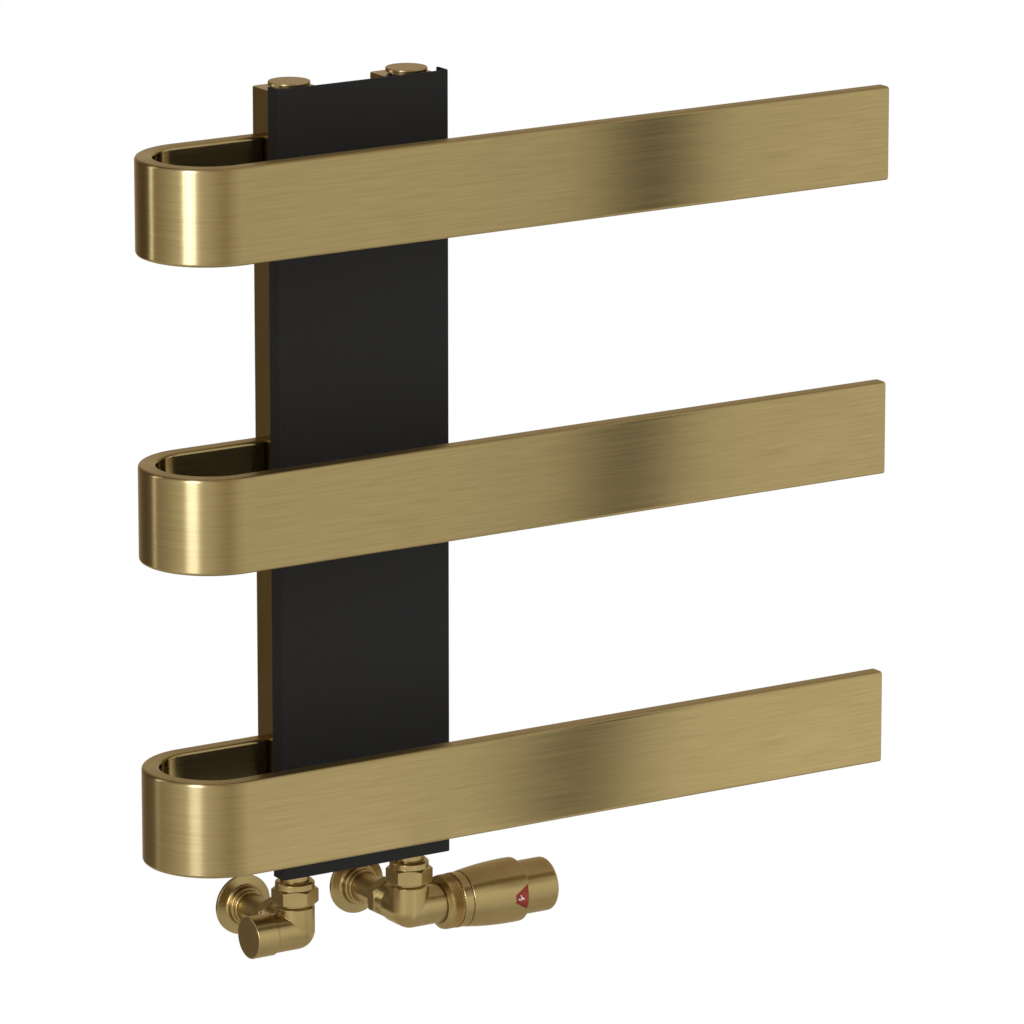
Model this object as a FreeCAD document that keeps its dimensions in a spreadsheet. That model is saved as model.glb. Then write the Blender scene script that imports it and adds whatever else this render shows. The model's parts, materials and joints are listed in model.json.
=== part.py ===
import FreeCAD, Part
import os
import re

import Sketcher

# Driving sizes in millimetres, one cell of the sheet each.
# The wall is the plane y = 0, the room lies towards -y, and the origin is on the wall,
# level with the middle rail and on the middle line of the cover.
SIZES = {
    # Heating rails: flat tubes bent to hairpins
    "rail_pitch": 222,
    "rail_left": 192,
    "rail_right": 408,
    "rail_stand_off": 168,
    "rail_height": 70,
    "rail_thickness": 13,
    "rail_wall": 1.5,
    "rail_corner": 2.5,
    "bend_radius": 51,
    "rail_end_plate": 2,
    # Collectors: square tubes behind the cover
    "collector_side": 40,
    "collector_wall": 2,
    "collector_corner": 4,
    "collector_spacing": 98,
    "collector_depth": 76,
    "collector_overrun": 29,
    "collector_over_top": 32.2,
    "end_plate": 4,
    "end_plate_ease": 0.3,
    "flow_slot_rim": 2,
    # Cover: folded sheet, held by welded studs
    "cover_sheet": 2,
    "cover_side_gap": 0.3,
    "cover_depth": 14.5,
    "cover_bend": 2.5,
    "cover_over_top": 3.8,
    "cover_over_foot": 4,
    "strip_inset": 3,
    "strip_thickness": 3,
    "strip_height": 30,
    "stud_radius": 2.5,
    "stud_gap": 0.2,
    "stud_end": 2,
    "stud_nut_flats": 8,
    "stud_nut_height": 4,
    # Wall brackets
    "back_plate_width": 120,
    "back_plate_height": 40,
    "back_plate": 4,
    "wall_plate_width": 60,
    "wall_plate_height": 50,
    "wall_plate": 4,
    "wall_plate_corner": 4,
    "fixing_spacing": 40,
    "fixing_radius": 3.25,
    "spigot_radius": 8,
    "spigot_gap": 0.1,
    "spigot_clear": 4,
    "socket_wall": 5,
    "socket_length": 30,
    "grub_radius": 3,
    "grub_inset": 8,
    # Threaded fittings in the collectors' ends
    "thread_radius": 10.5,
    "thread_gap": 0.05,
    "thread_reach": 8,
    "seal_thickness": 1,
    "seal_gap": 0.2,
    "neck_radius": 13.5,
    "neck_height": 1,
    "cap_radius": 15.2,
    "cap_height": 2.8,
    "edge_break": 0.4,
    # Air vent
    "vent_gap": 0.3,
    "vent_stem_radius": 5,
    "vent_stem_length": 3,
    "needle_radius": 2.5,
    "needle_length": 9,
    "needle_lift": 2,
    "vent_bore_radius": 1.5,
    "running_gap": 0.05,
    # Corner valves
    "valve_drop": 50,
    "body_radius": 14.5,
    "body_rise": 19.5,
    "body_edge": 1.5,
    "flow_radius": 8,
    "insert_radius": 10,
    "union_thread": 12.8,
    "union_rise": 28,
    "union_gap": 0.2,
    "tail_flange": 12.4,
    "tail_flange_height": 4,
    "union_flats": 30,
    "union_collar_radius": 14.5,
    "union_collar": 5.5,
    "union_lip": 5,
    "union_skirt": 7,
    "nut_chamfer": 1.4,
    # Pipes to the wall
    "pipe_radius": 7,
    "pipe_wall": 1,
    "pipe_gap": 0.1,
    "pipe_start": 8,
    "stub_radius": 7.5,
    "stub_reach": 20,
    "stub_clear": 1,
    "wall_branch": 18,
    "wall_thread": 10.4,
    "wall_thread_length": 8,
    "olive_radius": 9.6,
    "olive_length": 4.3,
    "olive_gap": 0.05,
    "pipe_nut_flats": 27,
    "pipe_nut_nose": 11.4,
    "pipe_nut_cone": 9.7,
    "pipe_nut_hex": 9,
    "sleeve_radius": 11.5,
    "sleeve_gap": 0.1,
    "rosette_radius": 22.6,
    "rosette_rim": 2.5,
    "rosette_dish": 1.5,
    "rosette_ring_radius": 14.4,
    "rosette_ring": 5.5,
    "rosette_step_radius": 13,
    "rosette_step": 3.5,
    "rosette_round": 1,
    # Lockshield valve
    "lockshield_branch": 21.2,
    "gland_depth": 9,
    "gland_collar": 13.6,
    "gland_collar_length": 6,
    "spindle_radius": 4,
    "spindle_play": 1.9,
    "spindle_head": 5.8,
    "spindle_slot": 1.2,
    "spindle_slot_depth": 3,
    "shut_disc_radius": 7,
    "shut_disc_start": 2.5,
    "shut_disc": 2.5,
    "shut_hub_radius": 6,
    "shut_hub_length": 5,
    "hub_bottom": 2.1,
    "lockshield_cap_gap": 0.5,
    "lockshield_cap_radius": 15.6,
    "lockshield_cap_length": 17.8,
    "lockshield_cap_end": 2,
    "lockshield_cap_edge": 0.8,
    # Thermostatic valve insert
    "thermostat_branch": 24.3,
    "insert_depth": 15,
    "insert_neck": 13.5,
    "insert_neck_length": 8.7,
    "spring_chamber": 6,
    "chamber_roof": 3.3,
    "spring_radius": 5.6,
    "spring_wire": 0.8,
    "pin_radius": 2,
    "pin_start": 2,
    "pin_play": 0.1,
    "pin_disc_radius": 7,
    "pin_disc_start": 3,
    "pin_disc": 3,
    # Thermostatic head
    "ring_gap": 0.3,
    "knurl_radius": 20.4,
    "knurl_back_radius": 15.6,
    "knurl_chamfer": 2.6,
    "knurl_length": 9.8,
    "knurl_wall": 1.5,
    "plain_ring_radius": 20.6,
    "plain_ring": 7.4,
    "base_radius": 18.4,
    "base_floor": 3,
    "base_hole": 5,
    "base_length": 34,
    "base_bore": 14.3,
    "base_spigot": 6,
    "slide_gap": 0.08,
    "barrel_start_radius": 21,
    "barrel_radius": 24.1,
    "barrel_swell": 260,
    "barrel_round": 1.2,
    "barrel_length": 46.6,
    "window_narrow": 3,
    "window_wide": 11.2,
    "window_length": 13.2,
    "tooth_offset": 0.8,
    "tooth_half": 0.7,
    "tooth_height": 1.2,
    "drum_radius": 20.1,
    "drum_wall": 2,
    "drum_length": 18.2,
    "handle_radius": 20.2,
    "handle_wall": 2.45,
    "handle_length": 27.8,
    "handle_end": 4,
    "handle_edge": 3,
    "handle_hub_wall": 2.5,
    "handle_hub": 11,
    "setting_radius": 4,
    "setting_play": 5.5,
    "sensor_rise": 4,
    "sensor_nose_radius": 3.5,
    "sensor_nose_length": 2,
    "sensor_radius": 9,
    "sensor_length": 12,
    "sensor_flange": 4,
    "sensor_hub_wall": 3,
    "sensor_hub": 8,
    "sensor_hub_floor": 2.5,
}

# Lengths that follow from the driving sizes
COLLECTOR_FOOT = "(rail_pitch + rail_height / 2 + collector_overrun)"
COLLECTOR_TOP = "(rail_pitch + rail_height / 2 + collector_over_top)"
COLLECTOR_X = "(collector_spacing / 2)"
LEG_DEPTH = "(rail_stand_off - 2 * bend_radius + rail_thickness / 2)"
COVER_HALF = "(collector_spacing / 2 + collector_side / 2 + cover_side_gap + cover_sheet)"
COVER_FRONT = "(collector_depth + collector_side / 2 + cover_sheet)"
COLLECTOR_FACE = "(collector_depth + collector_side / 2)"
COLLECTOR_BACK = "(collector_depth - collector_side / 2)"
STRIP_FRONT = f"({COLLECTOR_FACE} - strip_inset)"
STRIP_BACK = f"({STRIP_FRONT} - strip_thickness)"
VALVE_Z = f"({COLLECTOR_FOOT} + valve_drop)"
THREAD_HOLE = "(thread_radius + thread_gap)"
RUNNING_NEEDLE = "(needle_radius + running_gap)"
PLATE_TOP = "(valve_drop + end_plate)"
PIPE_NUT_START = "(wall_branch + ring_gap)"
PIPE_NUT_HEX = f"({PIPE_NUT_START} + pipe_nut_cone)"
PIPE_NUT_END = f"({PIPE_NUT_HEX} + pipe_nut_hex)"
OLIVE_START = "(wall_branch + wall_thread_length)"
OLIVE_END = f"({OLIVE_START} + olive_length)"
DISH_TOP = "(rosette_rim + rosette_dish)"
RING_TOP = f"({DISH_TOP} + rosette_ring)"
STEP_TOP = f"({RING_TOP} + rosette_step)"
CAP_START = "(lockshield_branch + lockshield_cap_gap)"
CAP_END = f"({CAP_START} + lockshield_cap_length)"
KNURL_BACK = "(thermostat_branch + ring_gap)"
KNURL_START = f"({KNURL_BACK} + knurl_chamfer)"
KNURL_END = f"({KNURL_START} + knurl_length)"
INSERT_END = "(thermostat_branch + insert_neck_length)"
BASE_BACK = f"({INSERT_END} + ring_gap)"
PLAIN_END = f"({KNURL_END} + plain_ring)"
BARREL_START = f"({PLAIN_END} + ring_gap)"
BARREL_END = f"({BARREL_START} + barrel_length)"
BASE_END = f"({KNURL_END} + base_length)"
HANDLE_START = f"({BARREL_END} + ring_gap)"
HANDLE_END = f"({HANDLE_START} + handle_length)"
HANDLE_FLOOR = f"({HANDLE_END} - handle_end)"
DRUM_START = f"({HANDLE_START} - drum_length)"
HEAD_FLOOR = f"({KNURL_END} + base_floor)"
SENSOR_NOSE = f"({HEAD_FLOOR} + sensor_rise)"
SENSOR_BODY = f"({SENSOR_NOSE} + sensor_nose_length)"
SENSOR_FLANGE = f"({SENSOR_BODY} + sensor_length)"
SENSOR_FLOOR = f"({SENSOR_FLANGE} + sensor_hub_floor)"
SENSOR_HUB = f"({SENSOR_FLANGE} + sensor_flange)"

doc = FreeCAD.newDocument("towel_rail")
sheet = doc.addObject("Spreadsheet::Sheet", "size")
for row, (name, value) in enumerate(SIZES.items(), start=1):
    sheet.set(f"A{row}", name)
    sheet.set(f"B{row}", str(value))
    sheet.setAlias(f"B{row}", name)
doc.recompute()

nodes = []
PREFIX = {name: "size." + name for name in SIZES}


def turn_to(along, across):
    """Rotation that takes a piece's own z axis to along and its x axis to across."""
    along = FreeCAD.Vector(*along)
    across = FreeCAD.Vector(*across)
    return FreeCAD.Rotation(across, along.cross(across), along, "ZXY")


UP = FreeCAD.Rotation()
RIGHT = turn_to((1, 0, 0), (0, 0, 1))
LEFT = turn_to((-1, 0, 0), (0, 0, 1))
TO_WALL = turn_to((0, 1, 0), (1, 0, 0))
TO_ROOM = turn_to((0, -1, 0), (1, 0, 0))


def bound(text):
    """Turn the plain names of sizes in a formula into references to the sheet."""
    return re.sub(r"[a-z]\w+", lambda word: PREFIX.get(word.group(), word.group()), str(text))


def worth(text):
    """The number that a formula gives at present."""
    return float(sheet.evalExpression(bound(text)))


def bind(item, **formulas):
    """Tie properties of a document object to formulas."""
    for key, text in formulas.items():
        item.setExpression(key, bound(text))
    return item


def place(item, at, turn=UP):
    """Turn a piece, and tie its position to formulas."""
    item.Placement = FreeCAD.Placement(FreeCAD.Vector(), turn)
    for axis, text in zip("xyz", at):
        item.setExpression(f"Placement.Base.{axis}", bound(text))
    return item


def node(item, label):
    """Name a finished sub-part."""
    item.Label = label
    nodes.append(item)
    return item


def new_body(name, at=("0", "0", "0"), turn=UP):
    return place(doc.addObject("PartDesign::Body", name), at, turn)


def new_sketch(body, plane, offset="0"):
    """A sketch on one of the body's own planes, moved along that plane's normal."""
    support = next(item for item in body.Origin.OriginFeatures if item.Role == plane)
    sketch = body.newObject("Sketcher::SketchObject", body.Name + "_sketch")
    sketch.AttachmentSupport = [(support, "")]
    sketch.MapMode = "FlatFace"
    sketch.setExpression("AttachmentOffset.Base.z", bound(offset))
    return sketch


def pin_point(sketch, side, end, corner):
    """Tie the coordinates of one end of a side to formulas."""
    for kind, text in zip(("DistanceX", "DistanceY"), corner):
        index = sketch.addConstraint(Sketcher.Constraint(kind, side, end, worth(text)))
        sketch.setExpression(f"Constraints[{index}]", bound(text))


def draw_arc(start, end, radius):
    """An arc of less than a half circle; a negative radius turns it clockwise."""
    first, last = (start, end) if radius > 0 else (end, start)
    chord = last - first
    rise = max(radius ** 2 - chord.Length ** 2 / 4, 0) ** 0.5
    across = FreeCAD.Vector(-chord.y, chord.x, 0).normalize()
    centre = (first + last) / 2 + across * rise
    circle = Part.Circle(centre, FreeCAD.Vector(0, 0, 1), abs(radius))
    return Part.ArcOfCircle(circle, circle.parameter(first), circle.parameter(last))


def draw_line(sketch, corners, closed=True):
    """Draw straight sides and arcs from corner to corner.

    A corner is a pair of formulas. A third entry makes the side that ends there an arc of that
    radius, anticlockwise if positive.
    """
    spots = [FreeCAD.Vector(worth(corner[0]), worth(corner[1]), 0) for corner in corners]
    ends = []
    for number in range(0 if closed else 1, len(corners)):
        start, end, corner = spots[number - 1], spots[number], corners[number]
        if len(corner) == 2:
            side = sketch.addGeometry(Part.LineSegment(start, end))
            ends.append((side, 1, 2))
            continue
        radius = worth(corner[2])
        side = sketch.addGeometry(draw_arc(start, end, radius))
        ends.append((side, 1, 2) if radius > 0 else (side, 2, 1))
        index = sketch.addConstraint(Sketcher.Constraint("Radius", side, abs(radius)))
        sign = "" if radius > 0 else "-1 * "
        sketch.setExpression(f"Constraints[{index}]", sign + "(" + bound(corner[2]) + ")")
    for (side, _, last), (after, first, _) in zip(ends, ends[1:] + ends[:1]):
        if closed or after != ends[0][0]:
            sketch.addConstraint(Sketcher.Constraint("Coincident", side, last, after, first))
    if not closed:
        pin_point(sketch, ends[0][0], ends[0][1], corners[0])
    for (side, _, last), corner in zip(ends, corners if closed else corners[1:]):
        pin_point(sketch, side, last, corner[:2])


def draw_circle(sketch, radius, x="0", y="0"):
    centre = FreeCAD.Vector(worth(x), worth(y), 0)
    ring = sketch.addGeometry(Part.Circle(centre, FreeCAD.Vector(0, 0, 1), worth(radius)))
    pin_point(sketch, ring, 3, (x, y))
    index = sketch.addConstraint(Sketcher.Constraint("Radius", ring, worth(radius)))
    sketch.setExpression(f"Constraints[{index}]", bound(radius))


def draw_box(sketch, width, height, corner, x="0", y="0"):
    """A rectangle with rounded corners about the point x, y."""
    left, right = f"{x} - ({width}) / 2", f"{x} + ({width}) / 2"
    low, high = f"{y} - ({height}) / 2", f"{y} + ({height}) / 2"
    draw_line(sketch, [
        (f"{right} - {corner}", low),
        (right, f"{low} + {corner}", corner),
        (right, f"{high} - {corner}"),
        (f"{right} - {corner}", high, corner),
        (f"{left} + {corner}", high),
        (left, f"{high} - {corner}", corner),
        (left, f"{low} + {corner}"),
        (f"{left} + {corner}", low, corner),
    ])


def pad(body, sketch, length, reverse=False):
    feature = body.newObject("PartDesign::Pad", body.Name + "_pad")
    feature.Profile = sketch
    feature.Reversed = reverse
    return bind(feature, Length=length)


def pocket(body, sketch, both=False, reverse=False):
    """Cut right through from the sketch, to one side or to both."""
    doc.recompute()
    before = body.Shape.Volume
    feature = body.newObject("PartDesign::Pocket", body.Name + "_pocket")
    feature.Profile = sketch
    feature.Type = "ThroughAll"
    feature.Midplane = both
    feature.Reversed = reverse
    doc.recompute()
    if not body.Shape.Volume < before:
        raise ValueError(f"the pocket in {body.Name} cuts nothing")
    return feature


def turned(name, at, turn, corners):
    """A turned piece: an outline of radius and length along its axis, spun about that axis."""
    body = new_body(name, at, turn)
    sketch = new_sketch(body, "XZ_Plane")
    draw_line(sketch, corners)
    feature = body.newObject("PartDesign::Revolution", name + "_turn")
    feature.Profile = sketch
    feature.ReferenceAxis = (sketch, ["V_Axis"])
    return body


def tube(inner, outer, start, end):
    """Outline of a plain tube."""
    return [(inner, start), (outer, start), (outer, end), (inner, end)]


def rod(name, at, turn, radius, start, end):
    """A solid rod along a piece's own axis."""
    return turned(name, at, turn, tube("0", radius, start, end))


def hexagon(name, blank, at, turn, flats, start, end):
    """Mill a turned blank to a hexagon whose flats face its own x axis."""
    prism = doc.addObject("Part::Prism", name + "_hexagon")
    prism.Polygon = 6
    place(prism, at, turn.multiply(FreeCAD.Rotation(FreeCAD.Vector(0, 0, 1), 30)))
    bind(prism, Circumradius=f"({flats}) / sqrt(3)", Height=f"{end} - ({start})")
    shift = turn.multVec(FreeCAD.Vector(0, 0, 1))
    for axis, text, step in zip("xyz", at, shift):
        prism.setExpression(f"Placement.Base.{axis}", bound(f"{text} + {round(step)} * ({start})"))
    common = doc.addObject("Part::Common", name)
    common.Base = prism
    common.Tool = blank
    return common


def cut(name, base, tool):
    item = doc.addObject("Part::Cut", name)
    item.Base = base
    item.Tool = tool
    return item


def group(name, pieces):
    """Like pieces that share one node, each a solid of its own."""
    item = doc.addObject("Part::Compound", name)
    item.Links = pieces
    return item


def box(name, size, at):
    """A plain block between at and at plus size."""
    item = doc.addObject("Part::Box", name)
    bind(item, Length=size[0], Width=size[1], Height=size[2])
    return place(item, at)


# Rails, their end plates and the ducts between the collectors
def flat_section(sketch, depth, hollow):
    """Section of the flat tube, across and upright, with its middle at a depth from the wall."""
    draw_box(sketch, "rail_thickness", "rail_height", "rail_corner", f"-1 * {depth}")
    if hollow:
        inner = "(rail_corner - rail_wall)"
        draw_box(sketch, "rail_thickness - 2 * rail_wall", "rail_height - 2 * rail_wall", inner,
                 f"-1 * {depth}")


def make_rail(name, level):
    body = new_body(name, ("0", "0", level))
    front = "(rail_stand_off - rail_thickness / 2)"
    middle = "(bend_radius - rail_thickness / 2)"
    bend_x = "(bend_radius - rail_left)"
    path = new_sketch(body, "XY_Plane")
    draw_line(path, [
        ("rail_right - rail_end_plate", f"-1 * {front}"),
        (bend_x, f"-1 * {front}"),
        (f"{bend_x} - {middle}", f"{middle} - {front}", f"-1 * {middle}"),
        (bend_x, f"-1 * {LEG_DEPTH}", f"-1 * {middle}"),
        (f"-1 * {COLLECTOR_X} - collector_side / 2", f"-1 * {LEG_DEPTH}"),
    ], closed=False)
    section = new_sketch(body, "YZ_Plane", "rail_right - rail_end_plate")
    flat_section(section, front, hollow=True)
    doc.recompute()
    pipe = body.newObject("PartDesign::AdditivePipe", name + "_pipe")
    pipe.Profile = section
    pipe.Spine = path
    return node(body, name)


def make_rail_fittings(levels):
    plates = []
    ducts = []
    for index, level in enumerate(levels):
        plate = new_body(f"rail_end_{index}", ("rail_right - rail_end_plate", "0", level))
        sketch = new_sketch(plate, "YZ_Plane")
        flat_section(sketch, "(rail_stand_off - rail_thickness / 2)", hollow=False)
        pad(plate, sketch, "rail_end_plate")
        plates.append(plate)
        duct = new_body(f"duct_{index}", (f"collector_side / 2 - {COLLECTOR_X}", "0", level))
        sketch = new_sketch(duct, "YZ_Plane")
        flat_section(sketch, LEG_DEPTH, hollow=True)
        pad(duct, sketch, "collector_spacing - collector_side")
        ducts.append(duct)
    node(group("rail_ends", plates), "rail_end_plates")
    node(group("ducts", ducts), "cross_ducts")


# Collectors with their threaded end plates
def make_collector(name, x, levels, both_walls):
    body = new_body(name, (x, "-1 * collector_depth", f"-1 * {COLLECTOR_FOOT}"))
    sketch = new_sketch(body, "XY_Plane")
    draw_box(sketch, "collector_side", "collector_side", "collector_corner")
    inner = "(collector_side - 2 * collector_wall)"
    draw_box(sketch, inner, inner, "(collector_corner - collector_wall)")
    pad(body, sketch, f"{COLLECTOR_FOOT} + {COLLECTOR_TOP}")
    slots = new_sketch(body, "YZ_Plane")
    rim = "(2 * rail_wall + 2 * flow_slot_rim)"
    for level in levels:
        draw_box(slots, f"rail_thickness - {rim}", f"rail_height - {rim}", "rail_corner / 2",
                 f"(collector_depth - {LEG_DEPTH})", f"({COLLECTOR_FOOT} + {level})")
    pocket(body, slots, both=both_walls)
    return node(body, name)


def make_end_plates():
    plates = []
    side = "(collector_side - 2 * collector_wall)"
    for x in (f"-1 * {COLLECTOR_X}", COLLECTOR_X):
        for z in (f"-1 * {COLLECTOR_FOOT}", f"{COLLECTOR_TOP} - end_plate"):
            plate = new_body(f"end_plate_{len(plates)}", (x, "-1 * collector_depth", z))
            sketch = new_sketch(plate, "XY_Plane")
            draw_box(sketch, side, side, "(collector_corner - collector_wall + end_plate_ease)")
            draw_circle(sketch, THREAD_HOLE)
            pad(plate, sketch, "end_plate")
            plates.append(plate)
    node(group("end_plates", plates), "collector_end_plates")


# Cover with the strips, studs and nuts that hold it
def make_cover():
    body = new_body("cover", ("0", f"-1 * {COVER_FRONT}", f"-1 * ({COLLECTOR_FOOT} + cover_over_foot)"))
    sketch = new_sketch(body, "XY_Plane")
    inside = f"({COVER_HALF} - cover_sheet)"
    flat = f"({COVER_HALF} - cover_bend)"
    fold = "(cover_bend - cover_sheet)"
    draw_line(sketch, [
        (f"-1 * {COVER_HALF}", "cover_depth"),
        (f"-1 * {COVER_HALF}", "cover_bend"),
        (f"-1 * {flat}", "0", "cover_bend"),
        (flat, "0"),
        (COVER_HALF, "cover_bend", "cover_bend"),
        (COVER_HALF, "cover_depth"),
        (inside, "cover_depth"),
        (inside, "cover_bend"),
        (flat, "cover_sheet", f"-1 * {fold}"),
        (f"-1 * {flat}", "cover_sheet"),
        (f"-1 * {inside}", "cover_bend", f"-1 * {fold}"),
        (f"-1 * {inside}", "cover_depth"),
    ])
    pad(body, sketch, f"{COLLECTOR_FOOT} + {COLLECTOR_TOP} + cover_over_foot + cover_over_top")
    node(body, "front_cover")


def make_cover_fixings(levels):
    strips = []
    studs = []
    nuts = []
    width = "(collector_spacing - collector_side)"
    stud_hole = "(stud_radius + stud_gap)"
    nut_end = f"({STRIP_BACK} - stud_nut_height)"
    for index, level in enumerate(levels):
        strip = new_body(f"strip_{index}", ("0", f"-1 * {STRIP_BACK}", level))
        sketch = new_sketch(strip, "XZ_Plane")
        draw_box(sketch, width, "strip_height", "edge_break")
        draw_circle(sketch, stud_hole)
        pad(strip, sketch, "strip_thickness")
        strips.append(strip)
        axis = ("0", "0", level)
        studs.append(rod(f"stud_{index}", axis, TO_ROOM, "stud_radius", f"{nut_end} - stud_end",
                         COLLECTOR_FACE))
        flats = "stud_nut_flats"
        blank = turned(f"stud_nut_blank_{index}", axis, TO_ROOM,
                       tube("stud_radius + thread_gap", flats, nut_end, STRIP_BACK))
        nuts.append(hexagon(f"stud_nut_{index}", blank, axis, TO_ROOM, flats, nut_end, STRIP_BACK))
    node(group("strips", strips), "cover_strips")
    node(group("studs", studs), "cover_studs")
    node(group("stud_nuts", nuts), "cover_nuts")


# Wall brackets: plates on the wall with sockets, and spigots on the collectors' backs
def make_wall_plate(name, level):
    body = new_body(name, ("0", "0", level))
    sketch = new_sketch(body, "XZ_Plane")
    draw_box(sketch, "wall_plate_width", "wall_plate_height", "wall_plate_corner")
    for x in ("-1 * fixing_spacing / 2", "fixing_spacing / 2"):
        draw_circle(sketch, "fixing_radius", x)
    pad(body, sketch, "wall_plate")
    node(body, name)


def make_brackets(levels):
    back_plates = []
    spigots = []
    sockets = []
    grubs = []
    bore = "(spigot_radius + spigot_gap)"
    outer = f"({bore} + socket_wall)"
    reach = "(wall_plate + socket_length)"
    grub_depth = f"({reach} - grub_inset)"
    for index, level in enumerate(levels):
        back_plates.append(box(f"back_plate_{index}", ("back_plate_width", "back_plate", "back_plate_height"),
                               ("-1 * back_plate_width / 2", f"-1 * {COLLECTOR_BACK}",
                                f"{level} - back_plate_height / 2")))
        axis = ("0", "0", level)
        spigots.append(rod(f"spigot_{index}", axis, TO_ROOM, "spigot_radius",
                           "wall_plate + spigot_clear", f"{COLLECTOR_BACK} - back_plate"))
        blank = turned(f"socket_blank_{index}", axis, TO_ROOM, tube(bore, outer, "wall_plate", reach))
        screw_axis = ("0", f"-1 * {grub_depth}", level)
        hole = rod(f"grub_hole_{index}", screw_axis, RIGHT, "grub_radius + thread_gap", "0", f"2 * {outer}")
        sockets.append(cut(f"socket_{index}", blank, hole))
        grubs.append(rod(f"grub_{index}", screw_axis, RIGHT, "grub_radius", f"{bore} - running_gap", outer))
    node(group("back_plate_pair", back_plates), "back_plates")
    node(group("spigots", spigots), "wall_spigots")
    node(group("sockets", sockets), "wall_sockets")
    node(group("grubs", grubs), "grub_screws")


# Plugs on top of the collectors
def make_top_plugs():
    left = (f"-1 * {COLLECTOR_X}", "-1 * collector_depth", COLLECTOR_TOP)
    right = (COLLECTOR_X, "-1 * collector_depth", COLLECTOR_TOP)
    shank = "(-1 * end_plate - thread_reach)"
    neck_top = "(seal_thickness + neck_height)"
    cap_top = f"({neck_top} + cap_height)"
    seal = tube("thread_radius + seal_gap", "neck_radius - edge_break", "0", "seal_thickness")
    seals = [turned(f"plug_seal_{index}", at, UP, seal) for index, at in enumerate((left, right))]
    node(group("plug_seal_pair", seals), "plug_seals")
    shank_side = [("thread_radius", shank), ("thread_radius", "seal_thickness"),
                  ("neck_radius", "seal_thickness")]
    node(turned("plug", left, UP, [
        ("0", shank), *shank_side, ("neck_radius", neck_top), ("cap_radius", neck_top),
        ("cap_radius", f"{cap_top} - edge_break"), ("cap_radius - edge_break", cap_top), ("0", cap_top),
    ]), "blanking_plug")
    body_top = f"({neck_top} - vent_gap)"
    stem_seat = f"({body_top} - vent_stem_length)"
    needle_seat = f"({stem_seat} - needle_length)"
    stem_hole = "(vent_stem_radius + running_gap)"
    node(turned("vent", right, UP, [
        ("vent_bore_radius", shank), *shank_side, ("neck_radius", body_top), (stem_hole, body_top),
        (stem_hole, stem_seat), (RUNNING_NEEDLE, stem_seat), (RUNNING_NEEDLE, needle_seat),
        ("vent_bore_radius", needle_seat),
    ]), "vent_body")
    node(rod("needle", right, UP, "needle_radius", needle_seat, f"{stem_seat} + edge_break"), "vent_needle")
    stem_end = f"({stem_seat} + running_gap)"
    hollow_top = f"({stem_end} + needle_lift)"
    node(turned("vent_knob", right, UP, [
        ("0", hollow_top), (RUNNING_NEEDLE, hollow_top), (RUNNING_NEEDLE, stem_end),
        ("vent_stem_radius", stem_end), ("vent_stem_radius", neck_top), ("cap_radius", neck_top),
        ("cap_radius", f"{cap_top} - edge_break"), ("cap_radius - edge_break", cap_top), ("0", cap_top),
    ]), "vent_cap")


# Unions between the collectors and the valves, measured upwards from the valve's axis
def make_union(name, at):
    gasket_top = "(union_rise + seal_thickness)"
    flange_top = f"({gasket_top} + tail_flange_height)"
    node(turned(name + "_tail_turned", at, UP, [
        ("flow_radius", gasket_top), ("tail_flange", gasket_top), ("tail_flange", flange_top),
        ("thread_radius", flange_top), ("thread_radius", f"{PLATE_TOP} + thread_reach / 2"),
        ("flow_radius", f"{PLATE_TOP} + thread_reach / 2"),
    ]), name + "_tail")
    hex_top = f"({flange_top} + union_lip - union_collar)"
    nut_top = f"({flange_top} + union_lip)"
    nut_foot = f"({hex_top} - union_skirt - union_lip)"
    corner = "(union_flats / sqrt(3))"
    bore = "(union_thread + union_gap)"
    blank = turned(name + "_union_blank", at, UP, [
        (bore, nut_foot), ("union_flats / 2 - edge_break", nut_foot), (corner, f"{nut_foot} + nut_chamfer"),
        (corner, f"{hex_top} - nut_chamfer"), ("union_collar_radius", hex_top),
        ("union_collar_radius", f"{nut_top} - nut_chamfer"),
        ("union_collar_radius - nut_chamfer", nut_top), ("thread_radius + union_gap", nut_top),
        ("thread_radius + union_gap", flange_top), (bore, flange_top),
    ])
    node(hexagon(name + "_union", blank, at, UP, "union_flats", nut_foot, nut_top), name + "_union_nut")
    return turned(name + "_gasket", at, UP, tube("flow_radius", "union_thread - edge_break", "union_rise",
                                                 gasket_top))


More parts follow.
